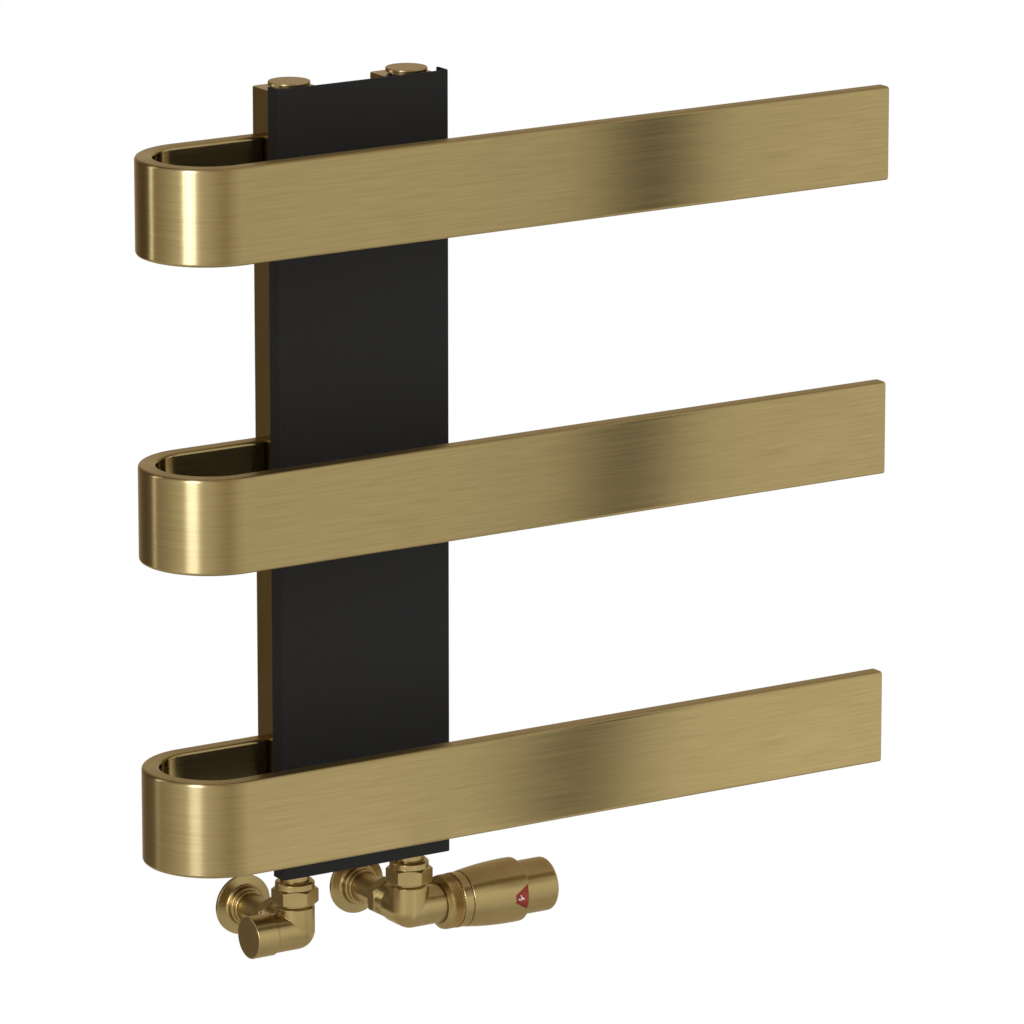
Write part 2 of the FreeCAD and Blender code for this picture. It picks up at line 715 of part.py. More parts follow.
# Valve body: an upright branch, a branch to the side and one to the wall, round a ball
def make_valve_body(name, at, side_turn, branch):
    neck_edge = "(union_thread - edge_break)"
    upright = turned(name + "_upright", at, UP, [
        ("0", "0"), ("body_radius", "0"), ("body_radius", "body_rise - body_edge"),
        ("body_radius - body_edge", "body_rise"), ("union_thread", "body_rise"),
        ("union_thread", "union_rise - edge_break"), (neck_edge, "union_rise"), ("0", "union_rise"),
    ])
    side = rod(name + "_side", at, side_turn, "body_radius", "0", branch)
    back = turned(name + "_back", at, TO_WALL, [
        ("0", "0"), ("body_radius", "0"), ("body_radius", "wall_branch - body_edge"),
        ("body_radius - body_edge", "wall_branch"), ("wall_thread", "wall_branch"),
        ("wall_thread", OLIVE_START), ("0", OLIVE_START),
    ])
    ball = place(bind(doc.addObject("Part::Sphere", name + "_ball"), Radius="body_radius"), at)
    outside = doc.addObject("Part::MultiFuse", name + "_outside")
    outside.Shapes = [upright, side, back, ball]
    valve = outside
    for index, (turn, radius, start, end) in enumerate((
            (UP, "flow_radius", "0", "union_rise + body_edge"),
            (side_turn, "insert_radius", "-1 * body_edge", f"{branch} + body_edge"),
            (TO_WALL, "pipe_radius + pipe_gap", "pipe_start", f"{OLIVE_START} + body_edge"),
            (TO_WALL, "pipe_radius - pipe_wall", "0", "pipe_start + body_edge"))):
        valve = cut(f"{name}_valve_{index}", valve, rod(f"{name}_bore_{index}", at, turn, radius, start, end))
    node(valve, name + "_body")


# Pipe, compression nut, olive, sleeve and rosette, measured from the valve's axis to the wall
def make_wall_connection(name, at):
    wall = "collector_depth"
    bore = "(pipe_radius - pipe_wall)"
    hole = "(pipe_radius + pipe_gap)"
    stub_start = f"({wall} + stub_clear)"
    stub_end = f"({wall} + stub_reach)"
    node(turned(name + "_tube", at, TO_WALL, [
        (bore, "pipe_start"), ("pipe_radius", "pipe_start"), ("pipe_radius", stub_start),
        ("stub_radius", stub_start), ("stub_radius", stub_end), (bore, stub_end),
    ]), name + "_pipe")
    half = "(pipe_nut_flats / 2)"
    corner = "(pipe_nut_flats / sqrt(3))"
    cavity = "(wall_thread + union_gap)"
    blank = turned(name + "_pipe_nut_blank", at, TO_WALL, [
        (cavity, PIPE_NUT_START), ("pipe_nut_nose", PIPE_NUT_START), (f"{half} - edge_break", PIPE_NUT_HEX),
        (corner, f"{PIPE_NUT_HEX} + nut_chamfer"), (corner, f"{PIPE_NUT_END} - nut_chamfer"),
        (f"{half} - edge_break", PIPE_NUT_END), (hole, PIPE_NUT_END), (hole, OLIVE_END), (cavity, OLIVE_END),
    ])
    node(hexagon(name + "_pipe_nut", blank, at, TO_WALL, "pipe_nut_flats", PIPE_NUT_START, PIPE_NUT_END),
         name + "_compression_nut")
    sleeve_end = f"({wall} - rosette_rim)"
    node(turned(name + "_shroud", at, TO_WALL, [
        (hole, PIPE_NUT_END), ("sleeve_radius - edge_break", PIPE_NUT_END),
        ("sleeve_radius", f"{PIPE_NUT_END} + edge_break"), ("sleeve_radius", sleeve_end), (hole, sleeve_end),
    ]), name + "_sleeve")
    rounding = "rosette_round"
    inner = "(sleeve_radius + sleeve_gap)"
    at_wall = (at[0], "0", at[2])
    node(turned(name + "_disc", at_wall, TO_ROOM, [
        (hole, "0"), ("rosette_radius", "0"), ("rosette_radius", "rosette_rim - edge_break"),
        ("rosette_radius - edge_break", "rosette_rim"), ("rosette_ring_radius", DISH_TOP),
        ("rosette_ring_radius", f"{RING_TOP} - {rounding}"),
        (f"rosette_ring_radius - {rounding}", RING_TOP, rounding), ("rosette_step_radius", RING_TOP),
        ("rosette_step_radius", f"{STEP_TOP} - {rounding}"),
        (f"rosette_step_radius - {rounding}", STEP_TOP, rounding), (inner, STEP_TOP),
        (inner, "rosette_rim"), (hole, "rosette_rim"),
    ]), name + "_rosette")
    olive_inner = "(pipe_radius + olive_gap)"
    waist = "(olive_radius - edge_break)"
    return turned(name + "_olive", at, TO_WALL, [
        (olive_inner, OLIVE_START), (waist, OLIVE_START), ("olive_radius", f"{OLIVE_START} + edge_break"),
        ("olive_radius", f"{OLIVE_END} - edge_break"), (waist, OLIVE_END), (olive_inner, OLIVE_END),
    ])


# Shut-off of the lockshield valve, measured from the valve's upright axis
def make_lockshield(at):
    insert = "(insert_radius - thread_gap)"
    running = "(spindle_radius + running_gap)"
    collar_end = "(lockshield_branch + gland_collar_length)"
    hub_floor = "(shut_disc_start + hub_bottom)"
    spindle_end = f"({collar_end} + spindle_head)"
    node(turned("gland", at, LEFT, [
        (running, "lockshield_branch - gland_depth"), (insert, "lockshield_branch - gland_depth"),
        (insert, "lockshield_branch"), ("gland_collar", "lockshield_branch"), ("gland_collar", collar_end),
        (running, collar_end),
    ]), "lockshield_gland")
    blank = rod("spindle_blank", at, LEFT, "spindle_radius", f"{hub_floor} + spindle_play",
                spindle_end)
    slot = box("spindle_slot_cut", ("2 * spindle_slot_depth", "4 * spindle_radius", "spindle_slot"),
               (f"{at[0]} - {spindle_end} - spindle_slot_depth", f"{at[1]} - 2 * spindle_radius",
                f"{at[2]} - spindle_slot / 2"))
    node(cut("spindle", blank, slot), "lockshield_spindle")
    hub_end = "(shut_disc_start + shut_disc + shut_hub_length)"
    disc_top = "(shut_disc_start + shut_disc)"
    node(turned("shut_off", at, LEFT, [
        ("0", "shut_disc_start"), ("shut_disc_radius", "shut_disc_start"), ("shut_disc_radius", disc_top),
        ("shut_hub_radius", disc_top), ("shut_hub_radius", hub_end), (running, hub_end),
        (running, hub_floor), ("0", hub_floor),
    ]), "lockshield_disc")
    inner = "(gland_collar + running_gap)"
    edge = "lockshield_cap_edge"
    node(turned("cap", at, LEFT, [
        (inner, CAP_START), ("lockshield_cap_radius - edge_break", CAP_START),
        ("lockshield_cap_radius", f"{CAP_START} + edge_break"),
        ("lockshield_cap_radius", f"{CAP_END} - {edge}"),
        (f"lockshield_cap_radius - {edge}", CAP_END, edge), ("0", CAP_END),
        ("0", f"{CAP_END} - lockshield_cap_end"), (inner, f"{CAP_END} - lockshield_cap_end"),
    ]), "lockshield_cap")


# Shut-off of the thermostatic valve
def make_thermostat_insert(at):
    insert = "(insert_radius - thread_gap)"
    start = "(thermostat_branch - insert_depth)"
    chamber_end = "(thermostat_branch - chamber_roof)"
    pin_hole = "(pin_radius + running_gap)"
    node(turned("insert", at, RIGHT, [
        ("spring_chamber", start), (insert, start), (insert, "thermostat_branch"),
        ("insert_neck", "thermostat_branch"), ("insert_neck", INSERT_END), (pin_hole, INSERT_END),
        (pin_hole, chamber_end), ("spring_chamber", chamber_end),
    ]), "thermostat_insert")
    node(rod("pin", at, RIGHT, "pin_radius", "pin_start", f"{SENSOR_NOSE} - pin_play"), "valve_pin")
    disc_end = "(pin_disc_start + pin_disc)"
    node(turned("disc", at, RIGHT, tube("pin_radius + thread_gap", "pin_disc_radius", "pin_disc_start",
                                        disc_end)), "valve_disc")
    node(turned("spring", at, RIGHT, tube("spring_radius - spring_wire", "spring_radius", disc_end,
                                          chamber_end)), "valve_spring")


# Thermostatic head, measured from the valve's upright axis to the right
def make_head(at):
    thread = "(insert_neck + running_gap)"
    cavity = "(knurl_radius - knurl_wall)"
    node(turned("union_ring", at, RIGHT, [
        (thread, KNURL_BACK), ("knurl_back_radius", KNURL_BACK),
        ("knurl_radius - edge_break", f"{KNURL_START} - edge_break"), ("knurl_radius", KNURL_START),
        ("knurl_radius", f"{KNURL_END} - edge_break"), ("knurl_radius - edge_break", KNURL_END),
        (cavity, KNURL_END), (cavity, BASE_BACK), (thread, BASE_BACK),
    ]), "knurled_ring")
    flange = f"({cavity} - running_gap)"
    spigot = "(drum_radius - drum_wall - slide_gap)"
    spigot_end = f"({BASE_END} + base_spigot)"
    node(turned("base", at, RIGHT, [
        ("base_hole", BASE_BACK), (flange, BASE_BACK), (flange, KNURL_END), ("base_radius", KNURL_END),
        ("base_radius", BASE_END), (spigot, BASE_END), (spigot, spigot_end), ("base_bore", spigot_end),
        ("base_bore", HEAD_FLOOR), ("base_hole", HEAD_FLOOR),
    ]), "head_base")
    seat = "(base_radius + sleeve_gap)"
    node(turned("collar", at, RIGHT, [
        (seat, KNURL_END), ("plain_ring_radius - edge_break", KNURL_END),
        ("plain_ring_radius", f"{KNURL_END} + edge_break"),
        ("plain_ring_radius", f"{PLAIN_END} - edge_break"),
        ("plain_ring_radius - edge_break", PLAIN_END), (seat, PLAIN_END),
    ]), "plain_ring")
    make_barrel(at, seat)
    make_handle(at)
    bore = "(base_bore - slide_gap)"
    hub = "(setting_radius + slide_gap)"
    hub_end = f"({SENSOR_HUB} + sensor_hub)"
    node(turned("sensor", at, RIGHT, [
        ("0", SENSOR_NOSE), ("sensor_nose_radius", SENSOR_NOSE), ("sensor_nose_radius", SENSOR_BODY),
        ("sensor_radius", SENSOR_BODY), ("sensor_radius", SENSOR_FLANGE), (bore, SENSOR_FLANGE),
        (bore, SENSOR_HUB), (f"{hub} + sensor_hub_wall", SENSOR_HUB), (f"{hub} + sensor_hub_wall", hub_end),
        (hub, hub_end), (hub, SENSOR_FLOOR), ("0", SENSOR_FLOOR),
    ]), "sensor_capsule")


def make_barrel(at, seat):
    """Fixed barrel with the window that opens towards the room."""
    bore = "(drum_radius + ring_gap)"
    body = turned("barrel", at, RIGHT, [
        (seat, BARREL_START), ("barrel_start_radius - edge_break", BARREL_START),
        ("barrel_start_radius", f"{BARREL_START} + edge_break"),
        ("barrel_radius", f"{BARREL_END} - barrel_round", "barrel_swell"),
        ("barrel_radius - barrel_round", BARREL_END, "barrel_round"),
        (bore, BARREL_END), (bore, BASE_END), (seat, BASE_END),
    ])
    sketch = new_sketch(body, "XZ_Plane")
    start = f"({BARREL_END} - window_length)"
    past = f"({BARREL_END} + edge_break)"
    draw_line(sketch, [
        ("-1 * window_narrow", start), ("-1 * tooth_offset - tooth_half", start),
        ("-1 * tooth_offset", f"{start} + tooth_height"), ("tooth_half - tooth_offset", start),
        ("window_narrow", start), ("window_wide", past), ("-1 * window_wide", past),
    ])
    pocket(body, sketch)
    node(body, "head_barrel")


def make_handle(at):
    """Handle, the red drum that carries the scale, and the setting spindle: they turn together."""
    inner = "(handle_radius - handle_wall)"
    hub = "(setting_radius + thread_gap)"
    hub_start = f"({HANDLE_FLOOR} - handle_hub)"
    rounded = "handle_edge"
    node(turned("grip", at, RIGHT, [
        (inner, HANDLE_START), ("handle_radius - edge_break", HANDLE_START),
        ("handle_radius", f"{HANDLE_START} + edge_break"), ("handle_radius", f"{HANDLE_END} - {rounded}"),
        (f"handle_radius - {rounded}", HANDLE_END, rounded), ("0", HANDLE_END), ("0", HANDLE_FLOOR),
        (hub, HANDLE_FLOOR), (hub, hub_start), (f"{hub} + handle_hub_wall", hub_start),
        (f"{hub} + handle_hub_wall", HANDLE_FLOOR), (inner, HANDLE_FLOOR),
    ]), "handle")
    node(turned("drum", at, RIGHT, tube("drum_radius - drum_wall", "drum_radius", DRUM_START, HANDLE_START)),
         "scale_drum")
    node(rod("setting", at, RIGHT, "setting_radius", f"{SENSOR_FLOOR} + setting_play", HANDLE_FLOOR),
         "setting_spindle")


def make_valves():
    depth = "-1 * collector_depth"
    axis_z = f"-1 * {VALVE_Z}"
    left = (f"-1 * {COLLECTOR_X}", depth, axis_z)
    right = (COLLECTOR_X, depth, axis_z)
    seals = []
    olives = []
    for name, at, turn, branch in (("lockshield", left, LEFT, "lockshield_branch"),
                                   ("thermostat", right, RIGHT, "thermostat_branch")):
        seals.append(make_union(name, at))
        make_valve_body(name, at, turn, branch)
        olives.append(make_wall_connection(name, at))
    node(group("gaskets", seals), "tail_seals")
    node(group("olive_pair", olives), "olives")
    make_lockshield(left)
    make_thermostat_insert(right)
    make_head(right)


def check_and_write():
    """Stop if any object failed, then write one file for each sub-part."""
    doc.recompute()
    for item in doc.Objects:
        if {"Invalid", "Error"} & set(item.State):
            raise ValueError(f"{item.Name} failed: {item.State}")
    os.makedirs("parts", exist_ok=True)
    for item in nodes:
        if item.Shape.isNull() or not item.Shape.isValid():
            raise ValueError(f"{item.Label} has no valid shape")
        item.Shape.exportStep(f"parts/{item.Label}.step")
    print(len(nodes), "sub-parts written")


rail_levels = ("rail_pitch", "0", "-1 * rail_pitch")
bracket_levels = ("rail_pitch / 2", "-1 * rail_pitch / 2")
for rail_name, rail_level in zip(("rail_top", "rail_middle", "rail_bottom"), rail_levels):
    make_rail(rail_name, rail_level)
make_rail_fittings(rail_levels)
make_collector("collector_left", f"-1 * {COLLECTOR_X}", rail_levels, both_walls=True)
make_collector("collector_right", COLLECTOR_X, rail_levels, both_walls=False)
make_end_plates()
make_cover()
make_cover_fixings(bracket_levels)
for plate_name, plate_level in zip(("wall_plate_upper", "wall_plate_lower"), bracket_levels):
    make_wall_plate(plate_name, plate_level)
make_brackets(bracket_levels)
make_top_plugs()
make_valves()
check_and_write()
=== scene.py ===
import json
import math

import bpy
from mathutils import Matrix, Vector


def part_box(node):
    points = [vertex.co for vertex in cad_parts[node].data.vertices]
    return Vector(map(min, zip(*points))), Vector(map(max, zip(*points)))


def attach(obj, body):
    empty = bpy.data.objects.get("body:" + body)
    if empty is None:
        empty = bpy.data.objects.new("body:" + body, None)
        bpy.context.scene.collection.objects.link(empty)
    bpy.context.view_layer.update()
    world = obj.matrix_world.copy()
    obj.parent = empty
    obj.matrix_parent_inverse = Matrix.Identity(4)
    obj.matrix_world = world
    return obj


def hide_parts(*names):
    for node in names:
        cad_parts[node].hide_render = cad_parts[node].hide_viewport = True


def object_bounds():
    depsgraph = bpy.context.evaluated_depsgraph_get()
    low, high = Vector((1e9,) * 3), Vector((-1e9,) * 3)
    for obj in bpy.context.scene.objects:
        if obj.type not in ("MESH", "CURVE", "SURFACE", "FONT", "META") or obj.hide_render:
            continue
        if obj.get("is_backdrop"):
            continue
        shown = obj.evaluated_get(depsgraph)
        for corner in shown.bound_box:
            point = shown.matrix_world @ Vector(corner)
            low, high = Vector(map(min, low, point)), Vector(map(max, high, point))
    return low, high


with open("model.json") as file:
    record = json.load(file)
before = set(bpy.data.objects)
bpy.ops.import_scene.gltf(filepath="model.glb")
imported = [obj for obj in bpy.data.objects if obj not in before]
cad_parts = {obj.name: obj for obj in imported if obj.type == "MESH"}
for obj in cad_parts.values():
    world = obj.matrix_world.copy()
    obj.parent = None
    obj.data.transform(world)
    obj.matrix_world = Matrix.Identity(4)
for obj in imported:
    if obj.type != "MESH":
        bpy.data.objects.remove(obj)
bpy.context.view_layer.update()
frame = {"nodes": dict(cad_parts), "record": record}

MM = 0.001
TINY = 1e-7
X = Vector((1, 0, 0))
Y = Vector((0, 1, 0))
Z = Vector((0, 0, 1))

# Fineness of the meshes
ARC_STEPS = 6
COVER_ARC_STEPS = 8
ROSETTE_ARC_STEPS = 10
END_STEPS = 5
LATHE_STEPS = 128
BEND_STEPS = 72
UPRIGHT_STEPS = 3

# Sizes of the dressed pieces in metres; places come from the boxes of the CAD nodes
SMALL_EDGE = 0.2 * MM
RAIL_THICKNESS = 13 * MM
RAIL_CORNER = 2.5 * MM
RAIL_END_ROUND = 0.8 * MM
BEND_RADIUS = 51 * MM
COLLECTOR_CORNER = 4 * MM
COLLECTOR_EDGE = 0.9 * MM
COLLECTOR_STEP = 2.5 * MM
COLLECTOR_HOLE = 10.55 * MM
COVER_SHEET = 2 * MM
COVER_FOLD = 2.5 * MM
COVER_EDGE = 0.35 * MM
CAP_NECK = 13.5 * MM
CAP_THREAD = 10.5 * MM
CAP_HEIGHT = 2.8 * MM
CAP_EDGE = 0.7 * MM
STEM_RADIUS = 5 * MM
NEEDLE_HOLE = 2.55 * MM
NEEDLE_HOLE_DEPTH = 2 * MM
KNURL_TEETH = 56
KNURL_ROWS = 4
KNURL_DEPTH = 0.7 * MM
KNURL_ROOT = 1.1 * MM
KNURL_CHAMFER = 2.6 * MM
KNURL_EDGE = 0.5 * MM
KNURL_EDGE_ROUND = 0.3 * MM
RING_BORE = 13.55 * MM
RING_BACK = 15.6 * MM
RING_WALL = 1.5 * MM
RING_NECK = 8.7 * MM
ROSETTE_RIM_HEIGHT = 2.5 * MM
ROSETTE_RIM_ROUND = 0.4 * MM
ROSETTE_FACE_HEIGHT = 3.4 * MM
ROSETTE_FILLET = 2.2 * MM
ROSETTE_RING_RADIUS = 14.4 * MM
ROSETTE_RING_HEIGHT = 9.5 * MM
ROSETTE_STEP_RADIUS = 13 * MM
ROSETTE_STEP_FILLET = 0.3 * MM
ROSETTE_ROUND = 1 * MM

# Digits on the scale drum; places in degrees round the drum
DIGITS = 6
DIGIT_HEIGHT = 5 * MM
DIGIT_SHARE_OF_FONT = 0.69
DIGIT_BREADTH = 1.25
DIGIT_BOLD = 0.12 * MM
DIGIT_RELIEF = 0.06 * MM
DIGIT_FROM_END = 5.8 * MM
DIGIT_PLACE = 93
DIGIT_STEP = 50
DIGIT_AT_REST = 4

# Base colours, linear
BRASS_DARK = (0.315, 0.237, 0.099, 1)
BRASS = (0.362, 0.275, 0.119, 1)
BRASS_LIGHT = (0.404, 0.309, 0.137, 1)
SATIN_DARK = (0.372, 0.272, 0.111, 1)
SATIN = (0.392, 0.290, 0.121, 1)
SATIN_LIGHT = (0.410, 0.306, 0.130, 1)
GRAZING = (0.92, 0.84, 0.70, 1)
# Knurl colours: painted shade for its grooves and a painted highlight for its peaks, not two tones of the
# brass itself
KNURL_GROOVE_SHADE = (0.130, 0.070, 0.016, 1)
KNURL_PEAK_HIGHLIGHT = (0.470, 0.310, 0.105, 1)
RAW_DARK = (0.47, 0.31, 0.09, 1)
RAW_LIGHT = (0.57, 0.40, 0.14, 1)
COAT_DARK = (0.0246, 0.0246, 0.0245, 1)
COAT_LIGHT = (0.0328, 0.0328, 0.0327, 1)
COAT_GRAZING = (1, 0.9, 0.76, 1)
ZINC_DARK = (0.42, 0.43, 0.45, 1)
ZINC_LIGHT = (0.56, 0.56, 0.56, 1)
STEEL_DARK = (0.33, 0.33, 0.34, 1)
STEEL_LIGHT = (0.45, 0.45, 0.46, 1)
RUBBER_DARK = (0.012, 0.012, 0.012, 1)
RUBBER_LIGHT = (0.02, 0.02, 0.02, 1)
RED_DARK = (0.30, 0.046, 0.026, 1)
RED_LIGHT = (0.35, 0.058, 0.034, 1)
PLASTIC_DARK = (0.016, 0.016, 0.017, 1)
PLASTIC_LIGHT = (0.026, 0.026, 0.027, 1)
PRINT_DARK = (0.76, 0.76, 0.74, 1)
PRINT_LIGHT = (0.84, 0.84, 0.82, 1)
FLOOR_DARK = (0.87, 0.87, 0.87, 1)
FLOOR_LIGHT = (0.9, 0.9, 0.9, 1)
WHITE = (1, 1, 1, 1)

# Noise: the middle of its range, then for each use its grains per metre along three axes and its detail
NOISE_MIDDLE = (0.3, 0.7)
NOISE_ROUGHNESS = 0.55
HAIRS = ((26, 1500, 1), 3.0)
STROKES = ((8, 420, 1), 2.0)
BRUSHED_CLOUDS = ((14, 20, 1), 2.0)
SATIN_GRAIN = ((2600, 2600, 2600), 3.0)
SATIN_CLOUDS = ((60, 60, 60), 3.0)
TOOL_MARKS = ((5200, 240, 240), 2.0)
RAW_CLOUDS = ((160, 160, 160), 3.0)
COAT_PEEL = ((900, 900, 900), 2.0)
COAT_SPECKS = ((4200, 4200, 4200), 2.0)
ZINC_CLOUDS = ((90, 90, 90), 4.0)
ZINC_SCRATCHES = ((160, 160, 3600), 2.0)
DRAWN_LINES = ((200, 4200, 4200), 2.0)
MOULDED_CLOUDS = ((130, 130, 130), 2.0)
COARSE_GRAIN = ((2200, 2200, 2200), 3.0)
RUBBER_GRAIN = ((2600, 2600, 2600), 3.0)
FINE_GRAIN = ((3000, 3000, 3000), 3.0)
FLOOR_GRAIN = ((40, 40, 40), 3.0)

# Ranges of roughness
BRUSHED_ROUGHNESS = (0.275, 0.305)
SATIN_ROUGHNESS = (0.27, 0.3)
KNURL_ROUGHNESS = (0.26, 0.34)
RAW_ROUGHNESS = (0.22, 0.36)
COAT_ROUGHNESS = (0.5, 0.6)
ZINC_ROUGHNESS = (0.3, 0.45)
STEEL_ROUGHNESS = (0.2, 0.34)
RUBBER_ROUGHNESS = (0.6, 0.75)
RED_ROUGHNESS = (0.5, 0.6)
PLASTIC_ROUGHNESS = (0.4, 0.5)
FLOOR_ROUGHNESS = 0.9

# Specular levels of what isn't metal
COAT_SHINE = 0.03
MOULDED_SHINE = 0.42
RED_SHINE = 0.15
FLOOR_SHINE = 0.1

# Fine relief: strength and height
BRUSHED_RELIEF = (0.05, 0.03 * MM)
RAW_RELIEF = (0.2, 0.04 * MM)
COAT_RELIEF = (0.18, 0.08 * MM)
ZINC_RELIEF = (0.12, 0.05 * MM)
MOULDED_RELIEF = (0.15, 0.04 * MM)

# Edges that shade as if rounded: radius and samples
SATIN_EDGES = (0.35 * MM, 6)
NUT_EDGES = (1 * MM, 6)
ZINC_EDGES = (0.3 * MM, 4)

# Brushed and cut brass: weights of the noises, places of the colours, stretch of the highlights
STROKE_WEIGHT = 0.5
CLOUD_WEIGHT = 0.2
BRUSHED_STOPS = (0.36, 0.5, 0.64)
SATIN_STOPS = (0.3, 0.5, 0.7)
# Pointiness at which the knurl's painted shade in its grooves and painted highlight on its peaks are pure
KNURL_SHADE_STOPS = (0.42, 0.58)
RAIL_STRETCH = 0.85
UPRIGHT_STRETCH = 0.2
QUARTER_TURN = 0.25

# Smoother inner side of a rail: where it starts round the outline, its fade and its share of roughness
INNER_FROM = 95 * MM
INNER_FADE = 1 * MM
INNER_SHARE = 0.62

# Floor, and how much it fades into the room
FLOOR_RADIUS = 3.0
FLOOR_SIDES = 96
FLOOR_LEVEL = -1.6
FLOOR_FADE = (0.55 * FLOOR_RADIUS, 0.9 * FLOOR_RADIUS)
FLOOR_PALE = 0.2

# Tent of scrims: pairs of angle in degrees and share of light let through
TENT_RADIUS = 12
TENT_SEGMENTS = 64
TENT_RINGS = 32
ROUND_THE_ROOM = [
    (-180, 0.3), (-165, 0.55), (-140, 0.62), (-95, 0.7), (-60, 1.0), (-27, 1.0), (-10, 0.8), (0, 0.6),
    (10, 0.66), (28, 0.92), (44, 1.0), (80, 1.0), (104, 0.64), (125, 0.42), (140, 0.16), (160, 0.16),
    (180, 0.3)]
FLOOR_TO_CEILING = [
    (-90, 0.25), (-60, 0.35), (-32, 0.95), (20, 1.0), (40, 0.82), (60, 0.72), (90, 0.6)]
WARM_GREEN_LOSS = 0.24
WARM_BLUE_LOSS = 0.46

# Bright fills in front of the valves
FILLS_ACROSS = ((-0.12, 0.03), (0.06, 0.34))
FILL_UP = (-0.5, -0.277)
FILL_FRONT = -0.21
FILL_LEVELS = (0.46, 1.17)

# Reflector in front of the rails: extent, distance and levels
CARD_ACROSS = (0.0, 0.8)
CARD_UP = (-0.8, 0.5)
CARD_AWAY = 0.28
CARD_SIDES = (-0.1, 0.2)
CARD_SIDE_LEVELS = (0.945, 1.07)
CARD_FOOT = (-0.4, -0.13)
CARD_FOOT_LEVEL = 1.22

# Dark gap in the reflector, which slants, waves from rail to rail and is wider at its foot
GAP_AT = 0.362
GAP_MIDDLE = -0.081
GAP_SLANT = 0.156
GAP_CURL = -0.195
GAP_WAVE = 0.0058
GAP_HEIGHTS = (-0.3, -0.12)
GAP_HALF = (0.088, 0.071)
RAIL_PITCH = 0.222

# Soft boxes: azimuth, height span, distance, width, power and colour
KEY_LIGHT = (58, (-0.15, 2.2), 2.6, 0.78, 66, (0.9, 1.0, 1.35))
RIM_LIGHT = (125, (-0.45, 2.0), 2.6, 0.25, 7.5, (0.95, 1.0, 1.1))

# Camera, from lines measured in the photograph; angles in degrees, lens and sensor in millimetres
CAMERA_AT = (-2.799, -4.682, 1.329)
CAMERA_YAW = 32.53
CAMERA_PITCH = 14.14
CAMERA_LENS = 270.05
CAMERA_SENSOR = 36
CAMERA_REACH = 100


# Outlines and meshes
def rounded(corners, steps=ARC_STEPS):
    """Closed outline through corners of x, y and radius, anticlockwise, as rows of point and normal."""
    rows = []
    for index, (x, y, radius) in enumerate(corners):
        here = Vector((x, y))
        before = (here - Vector(corners[index - 1][:2])).normalized()
        after = (Vector(corners[(index + 1) % len(corners)][:2]) - here).normalized()
        turn = math.atan2(before.x * after.y - before.y * after.x, before.dot(after))
        side = 1 if turn > 0 else -1
        outward = Vector((before.y, -before.x))
        start = here - before * radius * math.tan(abs(turn) / 2)
        centre = start - outward * radius * side
        for step in range(steps + 1) if radius else (0, steps):
            angle = turn * step / steps
            cosine, sine = math.cos(angle), math.sin(angle)
            normal = Vector((outward.x * cosine - outward.y * sine, outward.x * sine + outward.y * cosine))
            rows.append((centre + normal * radius * side if radius else here, normal))
    return rows


def rectangle(half_x, half_y, corner):
    """Outline of a rectangle with rounded corners, about the origin."""
    return rounded([(-half_x, -half_y, corner), (half_x, -half_y, corner),
                    (half_x, half_y, corner), (-half_x, half_y, corner)])


def divided(outline, longest):
    """The outline with extra points on its straight sides, none further apart than the longest step."""
    rows = []
    for (point, normal), (beyond, other) in zip(outline, outline[1:] + outline[:1]):
        parts = 1
        if (normal - other).length < TINY:
            parts = max(1, math.ceil((beyond - point).length / longest))
        rows += [(point.lerp(beyond, part / parts), normal) for part in range(parts)]
    return rows


def ring_within(row, radius):
    """Circle about the middle of a closed row, as rows of point and outward ray."""
    middle = sum((point for point, normal in row), Vector()) / len(row)
    rays = [(point - middle).normalized() for point, normal in row]
    return [(middle + ray * radius, ray) for ray in rays]


def lengths(points):
    """Distance along a closed line of points, from the first one round to it again."""
    total = [0.0]
    for here, there in zip(points, points[1:] + points[:1]):
        total.append(total[-1] + (there - here).length)
    return total


def foot_of(low, high):
    """Middle of the lower face of a box."""
    return Vector(((low.x + high.x) / 2, (low.y + high.y) / 2, low.z))


def add_object(name, data):
    """A new object in the scene."""
    item = bpy.data.objects.new(name, data)
    bpy.context.scene.collection.objects.link(item)
    return item


